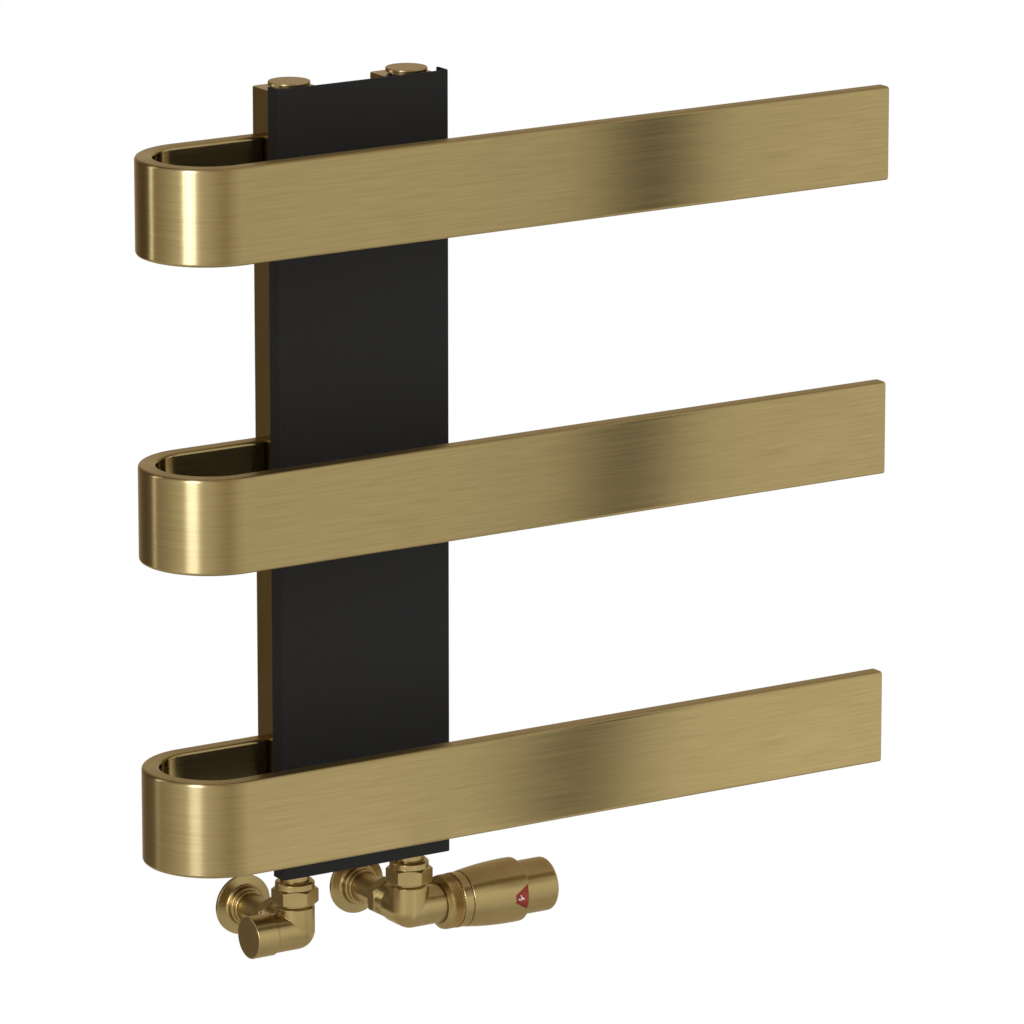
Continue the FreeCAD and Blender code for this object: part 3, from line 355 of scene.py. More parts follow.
class Skin:
    """Vertices, faces, normals and surface coordinates of one mesh."""

    def __init__(self):
        self.points = []
        self.normals = []
        self.faces = []
        self.coords = []

    def grid(self, rows, u, v, joined=False):
        """Faces through rows of point and normal; each row is closed, and joined closes the rows too."""
        first, width = len(self.points), len(rows[0])
        for row in rows:
            self.points += [point for point, normal in row]
            self.normals += [normal for point, normal in row]
        for i in range(len(rows) if joined else len(rows) - 1):
            for j in range(width):
                self.face([(first + a % len(rows) * width + b % width, (u[a], v[b]))
                           for a, b in ((i, j), (i + 1, j), (i + 1, j + 1), (i, j + 1))])

    def face(self, corners):
        """One face from vertex numbers and coordinates, without corners that coincide, facing its normals."""
        kept = []
        for corner in corners:
            if all((self.points[corner[0]] - self.points[other[0]]).length > TINY for other in kept):
                kept.append(corner)
        if len(kept) < 3:
            return
        numbers = [number for number, coords in kept]
        a, b, c = (self.points[number] for number in (numbers[0], numbers[1], numbers[-1]))
        outward = sum((self.normals[number] for number in numbers), Vector())
        if (b - a).cross(c - a).dot(outward) < 0:
            kept.reverse()
        self.faces.append([number for number, coords in kept])
        self.coords += [coords for number, coords in kept]

    def lid(self, row, normal, coords, hole):
        """A flat face over a row of points, with a round hole in its middle unless the hole is 0."""
        first, count = len(self.points), len(row)
        self.points += [point for point, outward in row]
        self.normals += [normal] * count
        if not hole:
            self.face(list(zip(range(first, first + count), coords)))
            return
        self.points += [point for point, ray in ring_within(row, hole)]
        self.normals += [normal] * count
        inner = [tuple(Vector(spot).normalized() * hole) for spot in coords]
        for here in range(count):
            after = (here + 1) % count
            self.face([(first + here, coords[here]), (first + after, coords[after]),
                       (first + count + after, inner[after]), (first + count + here, inner[here])])

    def bore(self, first, last, radius, depth):
        """Round hole from the middle of one end row to that of the other."""
        rows = [[(point, -ray) for point, ray in ring_within(row, radius)] for row in (first, last)]
        self.grid(rows, [0, depth], lengths([point for point, inward in rows[0]]))

    def make(self, name, material):
        """The finished object."""
        mesh = bpy.data.meshes.new(name)
        mesh.from_pydata(self.points, [], self.faces)
        mesh.polygons.foreach_set("use_smooth", [True] * len(mesh.polygons))
        layer = mesh.uv_layers.new(name="along")
        layer.data.foreach_set("uv", [value for coords in self.coords for value in coords])
        mesh.normals_split_custom_set_from_vertices(self.normals)
        mesh.materials.append(material)
        return add_object(name, mesh)


def sweep(outline, stations, edges, hole=0):
    """Move an outline along stations of origin, across, up, along and distance; edges rounds both ends."""
    skin = Skin()
    rows, u = [], []

    def add(station, inset, shift, tilt):
        origin, across, up, along, distance = station
        row = []
        for point, normal in outline:
            spot = point - normal * inset
            flat = across * normal.x + up * normal.y
            row.append((origin + across * spot.x + up * spot.y + along * shift,
                        flat * math.cos(tilt) + along * math.sin(tilt)))
        rows.append(row)
        u.append(distance + shift)

    def end(station, radius, side):
        for step in range(END_STEPS + 1)[::side]:
            angle = math.pi / 2 * step / END_STEPS
            add(station, radius * (1 - math.cos(angle)), side * radius * (math.sin(angle) - 1), side * angle)

    end(stations[0], edges[0], -1)
    for station in stations[1:-1]:
        add(station, 0, 0, 0)
    end(stations[-1], edges[1], 1)
    skin.grid(rows, u, lengths([point for point, normal in outline]))
    flat = [tuple(point) for point, normal in outline]
    skin.lid(rows[0], -stations[0][3], flat, hole)
    skin.lid(rows[-1], stations[-1][3], flat, hole)
    if hole:
        skin.bore(rows[0], rows[-1], hole, u[-1] - u[0])
    return skin


def upright(foot, height):
    """Stations up a vertical line."""
    parts = [height * step / UPRIGHT_STEPS for step in range(UPRIGHT_STEPS + 1)]
    return [(foot + Z * part, X, Y, Z, part) for part in parts]


def lathe(outline, origin, along, across):
    """Spin an outline of radius and height about an axis."""
    other = along.cross(across)
    rows, u = [], []
    widest = max(point.x for point, normal in outline)
    for step in range(LATHE_STEPS + 1):
        angle = 2 * math.pi * step / LATHE_STEPS
        ray = across * math.cos(angle) + other * math.sin(angle)
        u.append(angle * widest)
        rows.append([(origin + along * point.y + ray * point.x, along * normal.y + ray * normal.x)
                     for point, normal in outline])
    skin = Skin()
    skin.grid(rows[:-1], u, lengths([point for point, normal in outline]), joined=True)
    return skin


def dress(piece, body, slot, *nodes):
    """Let a piece ride on a body in place of CAD nodes."""
    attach(piece, body)
    if nodes:
        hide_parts(*nodes)


# Shader nodes
def add_node(tree, kind, inputs=None, **settings):
    """A shader node with its settings, and its inputs linked or set."""
    node = tree.nodes.new("ShaderNode" + kind)
    for key, value in settings.items():
        setattr(node, key, value)
    for key, value in (inputs or {}).items():
        if isinstance(value, bpy.types.NodeSocket):
            tree.links.new(value, node.inputs[key])
        else:
            node.inputs[key].default_value = value
    return node


def new_material(name, constants):
    """A material with one shader, whose constants sit on its own sockets."""
    material = bpy.data.materials.new(name)
    material.use_nodes = True
    tree = material.node_tree
    shader = tree.nodes["Principled BSDF"]
    for key, value in constants.items():
        shader.inputs[key].default_value = value
    return material, tree, shader


def empty_material(name):
    """A material without nodes."""
    material = bpy.data.materials.new(name)
    material.use_nodes = True
    material.node_tree.nodes.clear()
    return material


def link(tree, shader, **sockets):
    """Links to the inputs of a shader."""
    for key, value in sockets.items():
        tree.links.new(value, shader.inputs[key.replace("_", " ")])


def object_place(tree):
    """Place in the object's own frame."""
    return add_node(tree, "TexCoord").outputs["Object"]


def split(tree, vector):
    """The three parts of a vector."""
    return add_node(tree, "SeparateXYZ", {"Vector": vector}).outputs


def compute(tree, operation, *values, clamp=False):
    """Result of one step of arithmetic."""
    node = add_node(tree, "Math", dict(enumerate(values)), operation=operation, use_clamp=clamp)
    return node.outputs[0]


def remap(tree, value, source, target=(0.0, 1.0), smooth=False):
    """A value moved from one range to another, and kept inside it."""
    ends = {"Value": value, "From Min": source[0], "From Max": source[1],
            "To Min": target[0], "To Max": target[1]}
    kind = "SMOOTHSTEP" if smooth else "LINEAR"
    return add_node(tree, "MapRange", ends, interpolation_type=kind).outputs["Result"]


def noise(tree, coords, scale, detail):
    """Noise whose scale may differ along the three coordinates."""
    mapped = add_node(tree, "Mapping", {"Vector": coords, "Scale": scale}).outputs["Vector"]
    grain = add_node(tree, "TexNoise", {
        "Vector": mapped, "Scale": 1.0, "Detail": detail, "Roughness": NOISE_ROUGHNESS})
    return grain.outputs["Fac"]


def blend(tree, factor, places, colours):
    """Colours blended by a factor, each pure at its place."""
    ramp = add_node(tree, "ValToRGB", {"Fac": factor})
    elements = ramp.color_ramp.elements
    while len(elements) < len(places):
        elements.new(0.5)
    for element, place, colour in zip(elements, places, colours):
        element.position = place
        element.color = colour
    return ramp.outputs["Color"]


def relief(tree, height, strength, distance, **normal):
    """Normal of a surface with fine relief."""
    inputs = {"Height": height, "Strength": strength, "Distance": distance, **normal}
    return add_node(tree, "Bump", inputs).outputs["Normal"]


def soft_edges(tree, radius, samples):
    """Normal of a surface whose edges shade as if rounded."""
    return add_node(tree, "Bevel", {"Radius": radius}, samples=samples).outputs["Normal"]


# Materials
def brushed_brass(name, stretch, inner_from):
    """Brass brushed along the piece; past a distance round its outline it is smoother."""
    material, tree, shader = new_material(name, {
        "Metallic": 1.0, "Specular Tint": GRAZING, "Anisotropic": stretch,
        "Anisotropic Rotation": QUARTER_TURN})
    coords = add_node(tree, "UVMap", uv_map="along").outputs["UV"]
    tangent = add_node(tree, "Tangent", direction_type="UV_MAP", uv_map="along").outputs["Tangent"]
    hair = noise(tree, coords, *HAIRS)
    stroke = noise(tree, coords, *STROKES)
    cloud = noise(tree, coords, *BRUSHED_CLOUDS)
    mixed = compute(tree, "MULTIPLY_ADD", stroke, STROKE_WEIGHT, hair)
    total = compute(tree, "MULTIPLY_ADD", cloud, CLOUD_WEIGHT, mixed)
    shade = compute(tree, "MULTIPLY", total, 1 / (1 + STROKE_WEIGHT + CLOUD_WEIGHT))
    colour = blend(tree, shade, BRUSHED_STOPS, (BRASS_DARK, BRASS, BRASS_LIGHT))
    inner = remap(tree, split(tree, coords)["Y"], (inner_from - INNER_FADE, inner_from + INNER_FADE),
                  (1.0, INNER_SHARE))
    rough = compute(tree, "MULTIPLY", remap(tree, stroke, NOISE_MIDDLE, BRUSHED_ROUGHNESS), inner)
    link(tree, shader, Base_Color=colour, Roughness=rough, Tangent=tangent,
         Normal=relief(tree, mixed, *BRUSHED_RELIEF))
    return material


def satin_brass(name, edges):
    """Smooth satin brass, with edges that shade as if rounded."""
    material, tree, shader = new_material(name, {"Metallic": 1.0, "Specular Tint": GRAZING})
    place = object_place(tree)
    grain = noise(tree, place, *SATIN_GRAIN)
    cloud = noise(tree, place, *SATIN_CLOUDS)
    link(tree, shader, Base_Color=blend(tree, cloud, SATIN_STOPS, (SATIN_DARK, SATIN, SATIN_LIGHT)),
         Roughness=remap(tree, grain, NOISE_MIDDLE, SATIN_ROUGHNESS), Normal=soft_edges(tree, *edges))
    return material


def knurled_brass():
    """Satin brass with the crisp edges of a cut knurl, with painted shade in its grooves and a painted
    highlight on its peaks.
    """
    material, tree, shader = new_material("knurled_brass", {"Metallic": 1.0})
    grain = noise(tree, object_place(tree), *SATIN_GRAIN)
    # Pointiness lays painted shade into the grooves and a painted highlight onto the peaks
    height = add_node(tree, "NewGeometry").outputs["Pointiness"]
    link(tree, shader, Base_Color=blend(tree, height, KNURL_SHADE_STOPS, (KNURL_GROOVE_SHADE, KNURL_PEAK_HIGHLIGHT)),
         Roughness=remap(tree, grain, NOISE_MIDDLE, KNURL_ROUGHNESS))
    return material


def raw_brass():
    """Turned brass inside the valves, with fine tool marks."""
    material, tree, shader = new_material("raw_brass", {"Metallic": 1.0})
    place = object_place(tree)
    marks = noise(tree, place, *TOOL_MARKS)
    cloud = noise(tree, place, *RAW_CLOUDS)
    link(tree, shader, Base_Color=blend(tree, cloud, NOISE_MIDDLE, (RAW_DARK, RAW_LIGHT)),
         Roughness=remap(tree, marks, NOISE_MIDDLE, RAW_ROUGHNESS), Normal=relief(tree, marks, *RAW_RELIEF))
    return material


def black_coat():
    """Matt black powder coat with a fine orange peel."""
    material, tree, shader = new_material("black_coat", {
        "Specular IOR Level": COAT_SHINE, "Specular Tint": COAT_GRAZING})
    place = object_place(tree)
    peel = noise(tree, place, *COAT_PEEL)
    speck = noise(tree, place, *COAT_SPECKS)
    link(tree, shader, Base_Color=blend(tree, speck, NOISE_MIDDLE, (COAT_DARK, COAT_LIGHT)),
         Roughness=remap(tree, peel, NOISE_MIDDLE, COAT_ROUGHNESS), Normal=relief(tree, peel, *COAT_RELIEF))
    return material


def plated_steel():
    """Zinc-plated steel, faintly clouded, with short scratches."""
    material, tree, shader = new_material("plated_steel", {"Metallic": 1.0})
    place = object_place(tree)
    cloud = noise(tree, place, *ZINC_CLOUDS)
    scratch = noise(tree, place, *ZINC_SCRATCHES)
    edges = soft_edges(tree, *ZINC_EDGES)
    link(tree, shader, Base_Color=blend(tree, cloud, NOISE_MIDDLE, (ZINC_DARK, ZINC_LIGHT)),
         Roughness=remap(tree, cloud, NOISE_MIDDLE, ZINC_ROUGHNESS),
         Normal=relief(tree, scratch, *ZINC_RELIEF, Normal=edges))
    return material


def spring_steel():
    """Drawn steel wire and pin stock."""
    material, tree, shader = new_material("spring_steel", {"Metallic": 1.0})
    drawn = noise(tree, object_place(tree), *DRAWN_LINES)
    link(tree, shader, Base_Color=blend(tree, drawn, NOISE_MIDDLE, (STEEL_DARK, STEEL_LIGHT)),
         Roughness=remap(tree, drawn, NOISE_MIDDLE, STEEL_ROUGHNESS))
    return material


def moulded(name, colours, roughness, grain, shine=MOULDED_SHINE):
    """Moulded rubber or plastic with a fine texture from its tool."""
    material, tree, shader = new_material(name, {"Specular IOR Level": shine})
    place = object_place(tree)
    texture = noise(tree, place, *grain)
    cloud = noise(tree, place, *MOULDED_CLOUDS)
    link(tree, shader, Base_Color=blend(tree, cloud, NOISE_MIDDLE, colours),
         Roughness=remap(tree, texture, NOISE_MIDDLE, roughness),
         Normal=relief(tree, texture, *MOULDED_RELIEF))
    return material


MATERIALS = {
    "brushed_brass": brushed_brass("brushed_brass", RAIL_STRETCH, INNER_FROM),
    "upright_brass": brushed_brass("upright_brass", UPRIGHT_STRETCH, 0),
    "knurled_brass": knurled_brass(),
    "satin_brass": satin_brass("satin_brass", SATIN_EDGES),
    "nut_brass": satin_brass("nut_brass", NUT_EDGES),
    "raw_brass": raw_brass(),
    "black_coat": black_coat(),
    "plated_steel": plated_steel(),
    "spring_steel": spring_steel(),
    "black_rubber": moulded("black_rubber", (RUBBER_DARK, RUBBER_LIGHT), RUBBER_ROUGHNESS, RUBBER_GRAIN),
    "red_plastic": moulded("red_plastic", (RED_DARK, RED_LIGHT), RED_ROUGHNESS, FINE_GRAIN, RED_SHINE),
    "black_plastic": moulded("black_plastic", (PLASTIC_DARK, PLASTIC_LIGHT), PLASTIC_ROUGHNESS, COARSE_GRAIN),
    "white_print": moulded("white_print", (PRINT_DARK, PRINT_LIGHT), PLASTIC_ROUGHNESS, FINE_GRAIN),
}


# Pieces
def make_rail(node):
    """Flat tube bent to a hairpin, brushed along its length, with softly rounded long edges."""
    low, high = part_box(node)
    level = (low.z + high.z) / 2
    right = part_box("rail_end_plates")[1].x
    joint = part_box("collector_left")[0].x
    middle = BEND_RADIUS - RAIL_THICKNESS / 2
    centre = Vector((low.x + BEND_RADIUS, low.y + BEND_RADIUS, level))
    run = right - centre.x
    stations = [(Vector((right, centre.y - middle, level)), -Y, Z, -X, 0)]
    for step in range(BEND_STEPS + 1):
        turn = math.pi * step / BEND_STEPS
        outward = Vector((-math.sin(turn), -math.cos(turn), 0))
        along = Vector((-math.cos(turn), math.sin(turn), 0))
        stations.append((centre + outward * middle, outward, Z, along, run + middle * turn))
    last = run + middle * math.pi + joint - centre.x
    stations.append((Vector((joint, centre.y + middle, level)), Y, Z, X, last))
    outline = rectangle(RAIL_THICKNESS / 2, (high.z - low.z) / 2, RAIL_CORNER)
    skin = sweep(outline, stations, (RAIL_END_ROUND, 0))
    piece = skin.make(node + "_brushed", MATERIALS["brushed_brass"])
    dress(piece, "frame", "brushed_brass", node, "rail_end_plates")


def make_collector(node):
    """Square tube brushed upwards, with a round hole from end to end."""
    low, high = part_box(node)
    half = (high.x - low.x) / 2
    outline = divided(rectangle(half, half, COLLECTOR_CORNER), COLLECTOR_STEP)
    stations = upright(foot_of(low, high), high.z - low.z)
    skin = sweep(outline, stations, (COLLECTOR_EDGE, COLLECTOR_EDGE), COLLECTOR_HOLE)
    piece = skin.make(node + "_brushed", MATERIALS["upright_brass"])
    dress(piece, "frame", "brushed_brass", node, "collector_end_plates")


def make_cover():
    """Folded sheet channel with soft folds and broken edges."""
    low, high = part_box("front_cover")
    half, depth = (high.x - low.x) / 2, high.y - low.y
    inside, fold = half - COVER_SHEET, COVER_FOLD - COVER_SHEET
    outline = rounded([
        (-half, depth, COVER_EDGE), (-half, 0, COVER_FOLD), (half, 0, COVER_FOLD), (half, depth, COVER_EDGE),
        (inside, depth, COVER_EDGE), (inside, COVER_SHEET, fold), (-inside, COVER_SHEET, fold),
        (-inside, depth, COVER_EDGE)], COVER_ARC_STEPS)
    foot = Vector(((low.x + high.x) / 2, low.y, low.z))
    skin = sweep(outline, upright(foot, high.z - low.z), (COVER_EDGE, COVER_EDGE))
    piece = skin.make("front_cover_coated", MATERIALS["black_coat"])
    dress(piece, "frame", "black_coat", "front_cover")


def make_cap(node, body, shank):
    """Round disc on a shank, whose outline is given as far as the foot of its widest part."""
    low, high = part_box(node)
    radius, length = (high.x - low.x) / 2, high.z - low.z
    under = length - CAP_HEIGHT
    outline = rounded([*shank, (shank[-1][0], under, 0), (radius, under, SMALL_EDGE),
                       (radius, length, CAP_EDGE), (0, length, 0)])
    piece = lathe(outline, foot_of(low, high), Z, X).make(node + "_turned", MATERIALS["satin_brass"])
    dress(piece, body, "brushed_brass", node)


def make_caps():
    """Blanking plug with its thread and neck, and vent cap with its hollow stem."""
    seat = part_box("plug_seals")[1].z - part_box("blanking_plug")[0].z
    make_cap("blanking_plug", "frame", [
        (0, 0, 0), (CAP_THREAD, 0, CAP_EDGE), (CAP_THREAD, seat, 0), (CAP_NECK, seat, SMALL_EDGE)])
    make_cap("vent_cap", "vent_cap", [
        (0, NEEDLE_HOLE_DEPTH, 0), (NEEDLE_HOLE, NEEDLE_HOLE_DEPTH, 0), (NEEDLE_HOLE, 0, 0),
        (STEM_RADIUS, 0, 0)])


def ring_place():
    """Back end of the union ring on its axis, its radius and its length."""
    low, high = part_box("knurled_ring")
    back = Vector((low.x, (low.y + high.y) / 2, (low.z + high.z) / 2))
    return back, (high.z - low.z) / 2, high.x - low.x


def make_ring():
    """Union ring of the thermostatic head, turned smooth, with room for its knurl."""
    back, radius, length = ring_place()
    wall, edge, groove = radius - RING_WALL, radius - KNURL_EDGE, radius - KNURL_DEPTH
    outline = rounded([
        (RING_BORE, 0, 0), (RING_BACK, 0, SMALL_EDGE), (edge, KNURL_CHAMFER - KNURL_EDGE, KNURL_EDGE_ROUND),
        (edge, KNURL_CHAMFER, 0), (groove, KNURL_CHAMFER, 0), (groove, length, 0),
        (wall, length, 0), (wall, RING_NECK, 0), (RING_BORE, RING_NECK, 0)])
    piece = lathe(outline, back, X, Z).make("knurled_ring_turned", MATERIALS["satin_brass"])
    dress(piece, "frame", "satin_brass", "knurled_ring")


def circle(middle, reaches):
    """Points round a line along x, one for each reach."""
    points = []
    for step, reach in enumerate(reaches):
        angle = 2 * math.pi * step / len(reaches)
        points.append(middle + Vector((0, -reach * math.sin(angle), reach * math.cos(angle))))
    return points


def knurl_faces(rows, around):
    """Quads that close the band inside, and triangles between its peaks and grooves."""
    faces = []
    loops = (rows, rows + 1, rows + 2, 0)
    for start, end in zip(loops, loops[1:]):
        for step in range(around):
            after = (step + 1) % around
            faces.append((start * around + step, start * around + after,
                          end * around + after, end * around + step))
    for row in range(rows):
        for step in range(around):
            a, b = row * around + step, row * around + (step + 1) % around
            c, d = b + around, a + around
            faces += [(a, b, d), (b, c, d)] if (row + step) % 2 == 0 else [(a, b, c), (a, c, d)]
    return faces


def make_knurl():
    """Cut diamond knurl round the union ring, as a closed band."""
    back, radius, length = ring_place()
    rows, around = 2 * KNURL_ROWS, 2 * KNURL_TEETH
    points = []
    for row in range(rows + 1):
        peaks = [0 < row < rows and (row + step) % 2 == 0 for step in range(around)]
        place = back + X * (KNURL_CHAMFER + (length - KNURL_CHAMFER) * row / rows)
        points += circle(place, [radius if peak else radius - KNURL_DEPTH for peak in peaks])
    for place in (length, KNURL_CHAMFER):
        points += circle(back + X * place, [radius - KNURL_ROOT] * around)
    mesh = bpy.data.meshes.new("knurl")
    mesh.from_pydata(points, [], knurl_faces(rows, around))
    mesh.shade_flat()
    mesh.materials.append(MATERIALS["knurled_brass"])
    dress(add_object("knurl", mesh), "frame", "satin_brass")


def make_rosette(side):
    """Wall rosette with a flat face that curves up to two rounded steps."""
    node = side + "_rosette"
    low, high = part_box(node)
    sleeve_low, sleeve_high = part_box(side + "_sleeve")
    radius, bore = (high.x - low.x) / 2, (sleeve_high.x - sleeve_low.x) / 2
    foot = Vector(((low.x + high.x) / 2, high.y, (low.z + high.z) / 2))
    depth = high.y - low.y
    outline = rounded([
        (bore, 0, 0), (radius, 0, 0), (radius, ROSETTE_RIM_HEIGHT, ROSETTE_RIM_ROUND),
        (ROSETTE_RING_RADIUS, ROSETTE_FACE_HEIGHT, ROSETTE_FILLET),
        (ROSETTE_RING_RADIUS, ROSETTE_RING_HEIGHT, ROSETTE_ROUND),
        (ROSETTE_STEP_RADIUS, ROSETTE_RING_HEIGHT, ROSETTE_STEP_FILLET),
        (ROSETTE_STEP_RADIUS, depth, ROSETTE_ROUND), (bore, depth, 0)], ROSETTE_ARC_STEPS)
    piece = lathe(outline, foot, -Y, X).make(node + "_turned", MATERIALS["satin_brass"])
    dress(piece, "frame", "satin_brass", node)


def digit_mesh(number):
    """Flat mesh of one digit with a little thickness."""
    curve = bpy.data.curves.new(f"digit_{number}", "FONT")
    curve.body = str(number)
    curve.size = DIGIT_HEIGHT / DIGIT_SHARE_OF_FONT
    curve.align_x = "CENTER"
    curve.align_y = "CENTER"
    curve.offset = DIGIT_BOLD
    curve.extrude = DIGIT_RELIEF
    text = add_object(f"digit_{number}_text", curve)
    mesh = bpy.data.meshes.new_from_object(text.evaluated_get(bpy.context.evaluated_depsgraph_get()))
    bpy.data.objects.remove(text)
    return mesh


def make_digits():
    """Raised numbers round the scale drum; they read upwards towards the handle."""
    low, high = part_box("scale_drum")
    radius = (high.z - low.z) / 2
    axis_y, axis_z = (low.y + high.y) / 2, (low.z + high.z) / 2
    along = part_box("head_barrel")[1].x - DIGIT_FROM_END
    for number in range(DIGITS):
        mesh = digit_mesh(number)
        place = math.radians(DIGIT_PLACE - (number - DIGIT_AT_REST) * DIGIT_STEP)
        middle = [(min(ends) + max(ends)) / 2 for ends in zip(*(vertex.co for vertex in mesh.vertices))]
        for vertex in mesh.vertices:
            reach = radius + vertex.co.z
            angle = place + DIGIT_BREADTH * (vertex.co.x - middle[0]) / radius
            vertex.co = (along + vertex.co.y - middle[1], axis_y - reach * math.sin(angle),
                         axis_z + reach * math.cos(angle))
        mesh.materials.clear()
        mesh.materials.append(MATERIALS["white_print"])
        dress(add_object(f"digit_{number}", mesh), "handle", "red_plastic")


def finish_nodes():
    """Give every CAD node the material of its slot: satin where it is brass, softer edges for nuts."""
    slots = {part["node"]: part["material_slot"] for part in frame["record"]["subparts"]}
    for name, item in frame["nodes"].items():
        chosen = "satin_brass" if slots[name] == "brushed_brass" else slots[name]
        if name.endswith("_nut"):
            chosen = "nut_brass"
        item.data.materials.clear()
        item.data.materials.append(MATERIALS[chosen])


# Studio
def make_floor():
    """Plain pale round floor, far below the rail, that fades into the white room at its rim."""
    bpy.ops.mesh.primitive_circle_add(vertices=FLOOR_SIDES, radius=FLOOR_RADIUS, fill_type="NGON",
                                      location=(0, 0, FLOOR_LEVEL))
    floor = bpy.context.object
    floor.name = "floor"
    material, tree, shader = new_material("floor", {
        "Roughness": FLOOR_ROUGHNESS, "Specular IOR Level": FLOOR_SHINE})
    place = object_place(tree)
    grain = noise(tree, place, *FLOOR_GRAIN)
    link(tree, shader, Base_Color=blend(tree, grain, NOISE_MIDDLE, (FLOOR_DARK, FLOOR_LIGHT)))
    reach = add_node(tree, "VectorMath", {0: place}, operation="LENGTH").outputs["Value"]
    rim = remap(tree, reach, FLOOR_FADE, (FLOOR_PALE, 1.0), smooth=True)
    rays = add_node(tree, "LightPath").outputs
    direct = compute(tree, "ADD", rays["Is Camera Ray"], rays["Is Glossy Ray"])
    seen = compute(tree, "ADD", direct, rays["Is Transmission Ray"], clamp=True)
    white = add_node(tree, "Emission", {"Color": WHITE, "Strength": 1.0})
    faded = add_node(tree, "MixShader", {
        "Fac": compute(tree, "MULTIPLY", rim, seen), 1: shader.outputs[0], 2: white.outputs[0]})
    tree.links.new(faded.outputs[0], tree.nodes["Material Output"].inputs["Surface"])
    floor.data.materials.append(material)
    floor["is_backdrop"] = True


def make_world():
    """Plain white backdrop on all sides."""
    world = bpy.data.worlds.new("studio")
    bpy.context.scene.world = world
    world.use_nodes = True
    world.node_tree.nodes["Background"].inputs["Color"].default_value = WHITE


def add_panel(name, across, height, depth):
    """Upright panel that the camera doesn't see, with an empty material."""
    (left, right), (foot, head) = across, height
    mesh = bpy.data.meshes.new(name)
    mesh.from_pydata([(left, depth, foot), (right, depth, foot), (right, depth, head), (left, depth, head)],
                     [], [(0, 1, 2, 3)])
    panel = add_object(name, mesh)
    panel.visible_camera = False
    material = empty_material(name)
    mesh.materials.append(material)
    panel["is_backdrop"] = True
    return material.node_tree


def shine(tree, level):
    """Let a panel shine by a level."""
    light = add_node(tree, "Emission", {"Strength": level})
    add_node(tree, "OutputMaterial", {"Surface": light.outputs[0]})


def make_card():
    """Reflector in front of the rails, with a dark slanting gap."""
    tree = add_panel("card", CARD_ACROSS, CARD_UP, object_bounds()[0].y - CARD_AWAY)
    spot = split(tree, object_place(tree))
    rise = compute(tree, "SUBTRACT", spot["Z"], GAP_MIDDLE)
    curl = compute(tree, "MULTIPLY_ADD", rise, GAP_CURL, GAP_SLANT)
    slant = compute(tree, "MULTIPLY_ADD", rise, curl, GAP_AT)
    wave = compute(tree, "SINE", compute(tree, "MULTIPLY", rise, 2 * math.pi / RAIL_PITCH))
    line = compute(tree, "MULTIPLY_ADD", wave, -GAP_WAVE, slant)
    off = compute(tree, "SUBTRACT", spot["X"], line)
    half = remap(tree, spot["Z"], GAP_HEIGHTS, GAP_HALF)
    gap = remap(tree, compute(tree, "ABSOLUTE", off), (0.0, half), smooth=True)
    sides = remap(tree, off, CARD_SIDES, CARD_SIDE_LEVELS)
    low = remap(tree, spot["Z"], CARD_FOOT, (CARD_FOOT_LEVEL, 1.0), smooth=True)
    shine(tree, compute(tree, "MULTIPLY", compute(tree, "MULTIPLY", sides, low), gap))


def make_fills():
    """Two panels in front of the valves, brighter towards their heads."""
    for number, across in enumerate(FILLS_ACROSS):
        tree = add_panel(f"fill_{number}", across, FILL_UP, FILL_FRONT)
        shine(tree, remap(tree, split(tree, object_place(tree))["Z"], FILL_UP, FILL_LEVELS))


def tone(level):
    """Colour of a scrim: the less light it lets through, the warmer."""
    loss = 1 - level
    return (level, level * (1 - WARM_GREEN_LOSS * loss), level * (1 - WARM_BLUE_LOSS * loss), 1)


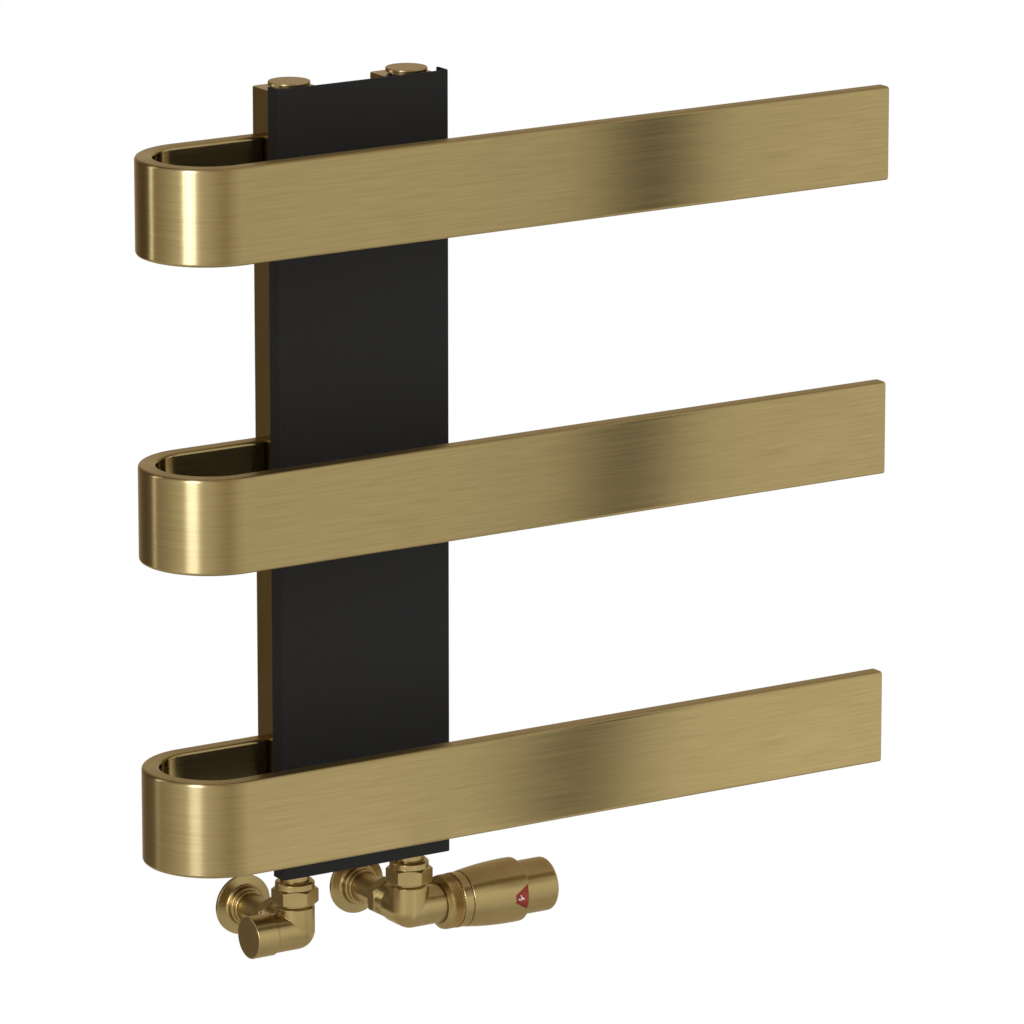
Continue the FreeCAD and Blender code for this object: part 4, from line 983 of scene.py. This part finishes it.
def make_tent():
    """Tent of scrims round the room, which dims the white backdrop behind it; the camera doesn't see it."""
    bpy.ops.mesh.primitive_uv_sphere_add(segments=TENT_SEGMENTS, ring_count=TENT_RINGS, radius=TENT_RADIUS)
    tent = bpy.context.object
    tent.name = "tent"
    tent.visible_camera = False
    material = empty_material("tent")
    tree = material.node_tree
    way = split(tree, add_node(tree, "VectorMath", {0: object_place(tree)}, operation="NORMALIZE").outputs[0])
    front = compute(tree, "MULTIPLY", way["Y"], -1.0)
    left = compute(tree, "MULTIPLY", way["X"], -1.0)
    turn = remap(tree, compute(tree, "ARCTAN2", left, front), (-math.pi, math.pi))
    around = blend(tree, turn, [(angle + 180) / 360 for angle, level in ROUND_THE_ROOM],
                   [tone(level) for angle, level in ROUND_THE_ROOM])
    lift = remap(tree, way["Z"], (-1.0, 1.0))
    height = blend(tree, lift, [(math.sin(math.radians(angle)) + 1) / 2 for angle, level in FLOOR_TO_CEILING],
                   [tone(level) for angle, level in FLOOR_TO_CEILING])
    scrim = add_node(tree, "Mix", {0: 1.0, 6: around, 7: height}, data_type="RGBA", blend_type="MULTIPLY")
    cloth = add_node(tree, "BsdfTransparent", {"Color": scrim.outputs[2]})
    add_node(tree, "OutputMaterial", {"Surface": cloth.outputs[0]})
    tent.data.materials.append(material)
    tent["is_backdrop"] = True


def add_light(name, azimuth, span, distance, width, power, colour):
    """Upright soft box that faces the rail; azimuth turns from the room towards the left."""
    lamp = bpy.data.lights.new(name, "AREA")
    lamp.shape = "RECTANGLE"
    lamp.size = width
    lamp.size_y = span[1] - span[0]
    lamp.energy = power
    lamp.color = colour
    angle = math.radians(azimuth)
    item = add_object(name, lamp)
    item.location = (-math.sin(angle) * distance, -math.cos(angle) * distance, (span[0] + span[1]) / 2)
    item.rotation_euler = (math.pi / 2, 0, -angle)
    item.visible_camera = False
    item.visible_diffuse = False


def make_camera():
    """Camera at the photograph's angle."""
    camera = bpy.data.cameras.new("camera")
    camera.lens = CAMERA_LENS
    camera.sensor_width = CAMERA_SENSOR
    camera.clip_end = CAMERA_REACH
    item = add_object("camera", camera)
    item.location = CAMERA_AT
    item.rotation_euler = (math.radians(90 - CAMERA_PITCH), 0, math.radians(-CAMERA_YAW))
    bpy.context.scene.camera = item


for rail in ("rail_top", "rail_middle", "rail_bottom"):
    make_rail(rail)
for collector in ("collector_left", "collector_right"):
    make_collector(collector)
make_cover()
make_caps()
make_ring()
make_knurl()
for valve in ("lockshield", "thermostat"):
    make_rosette(valve)
make_digits()
finish_nodes()
make_floor()
make_world()
make_card()
add_light("key", *KEY_LIGHT)
add_light("rim", *RIM_LIGHT)
make_tent()
make_fills()
make_camera()
bpy.context.scene.view_settings.view_transform = "Standard"
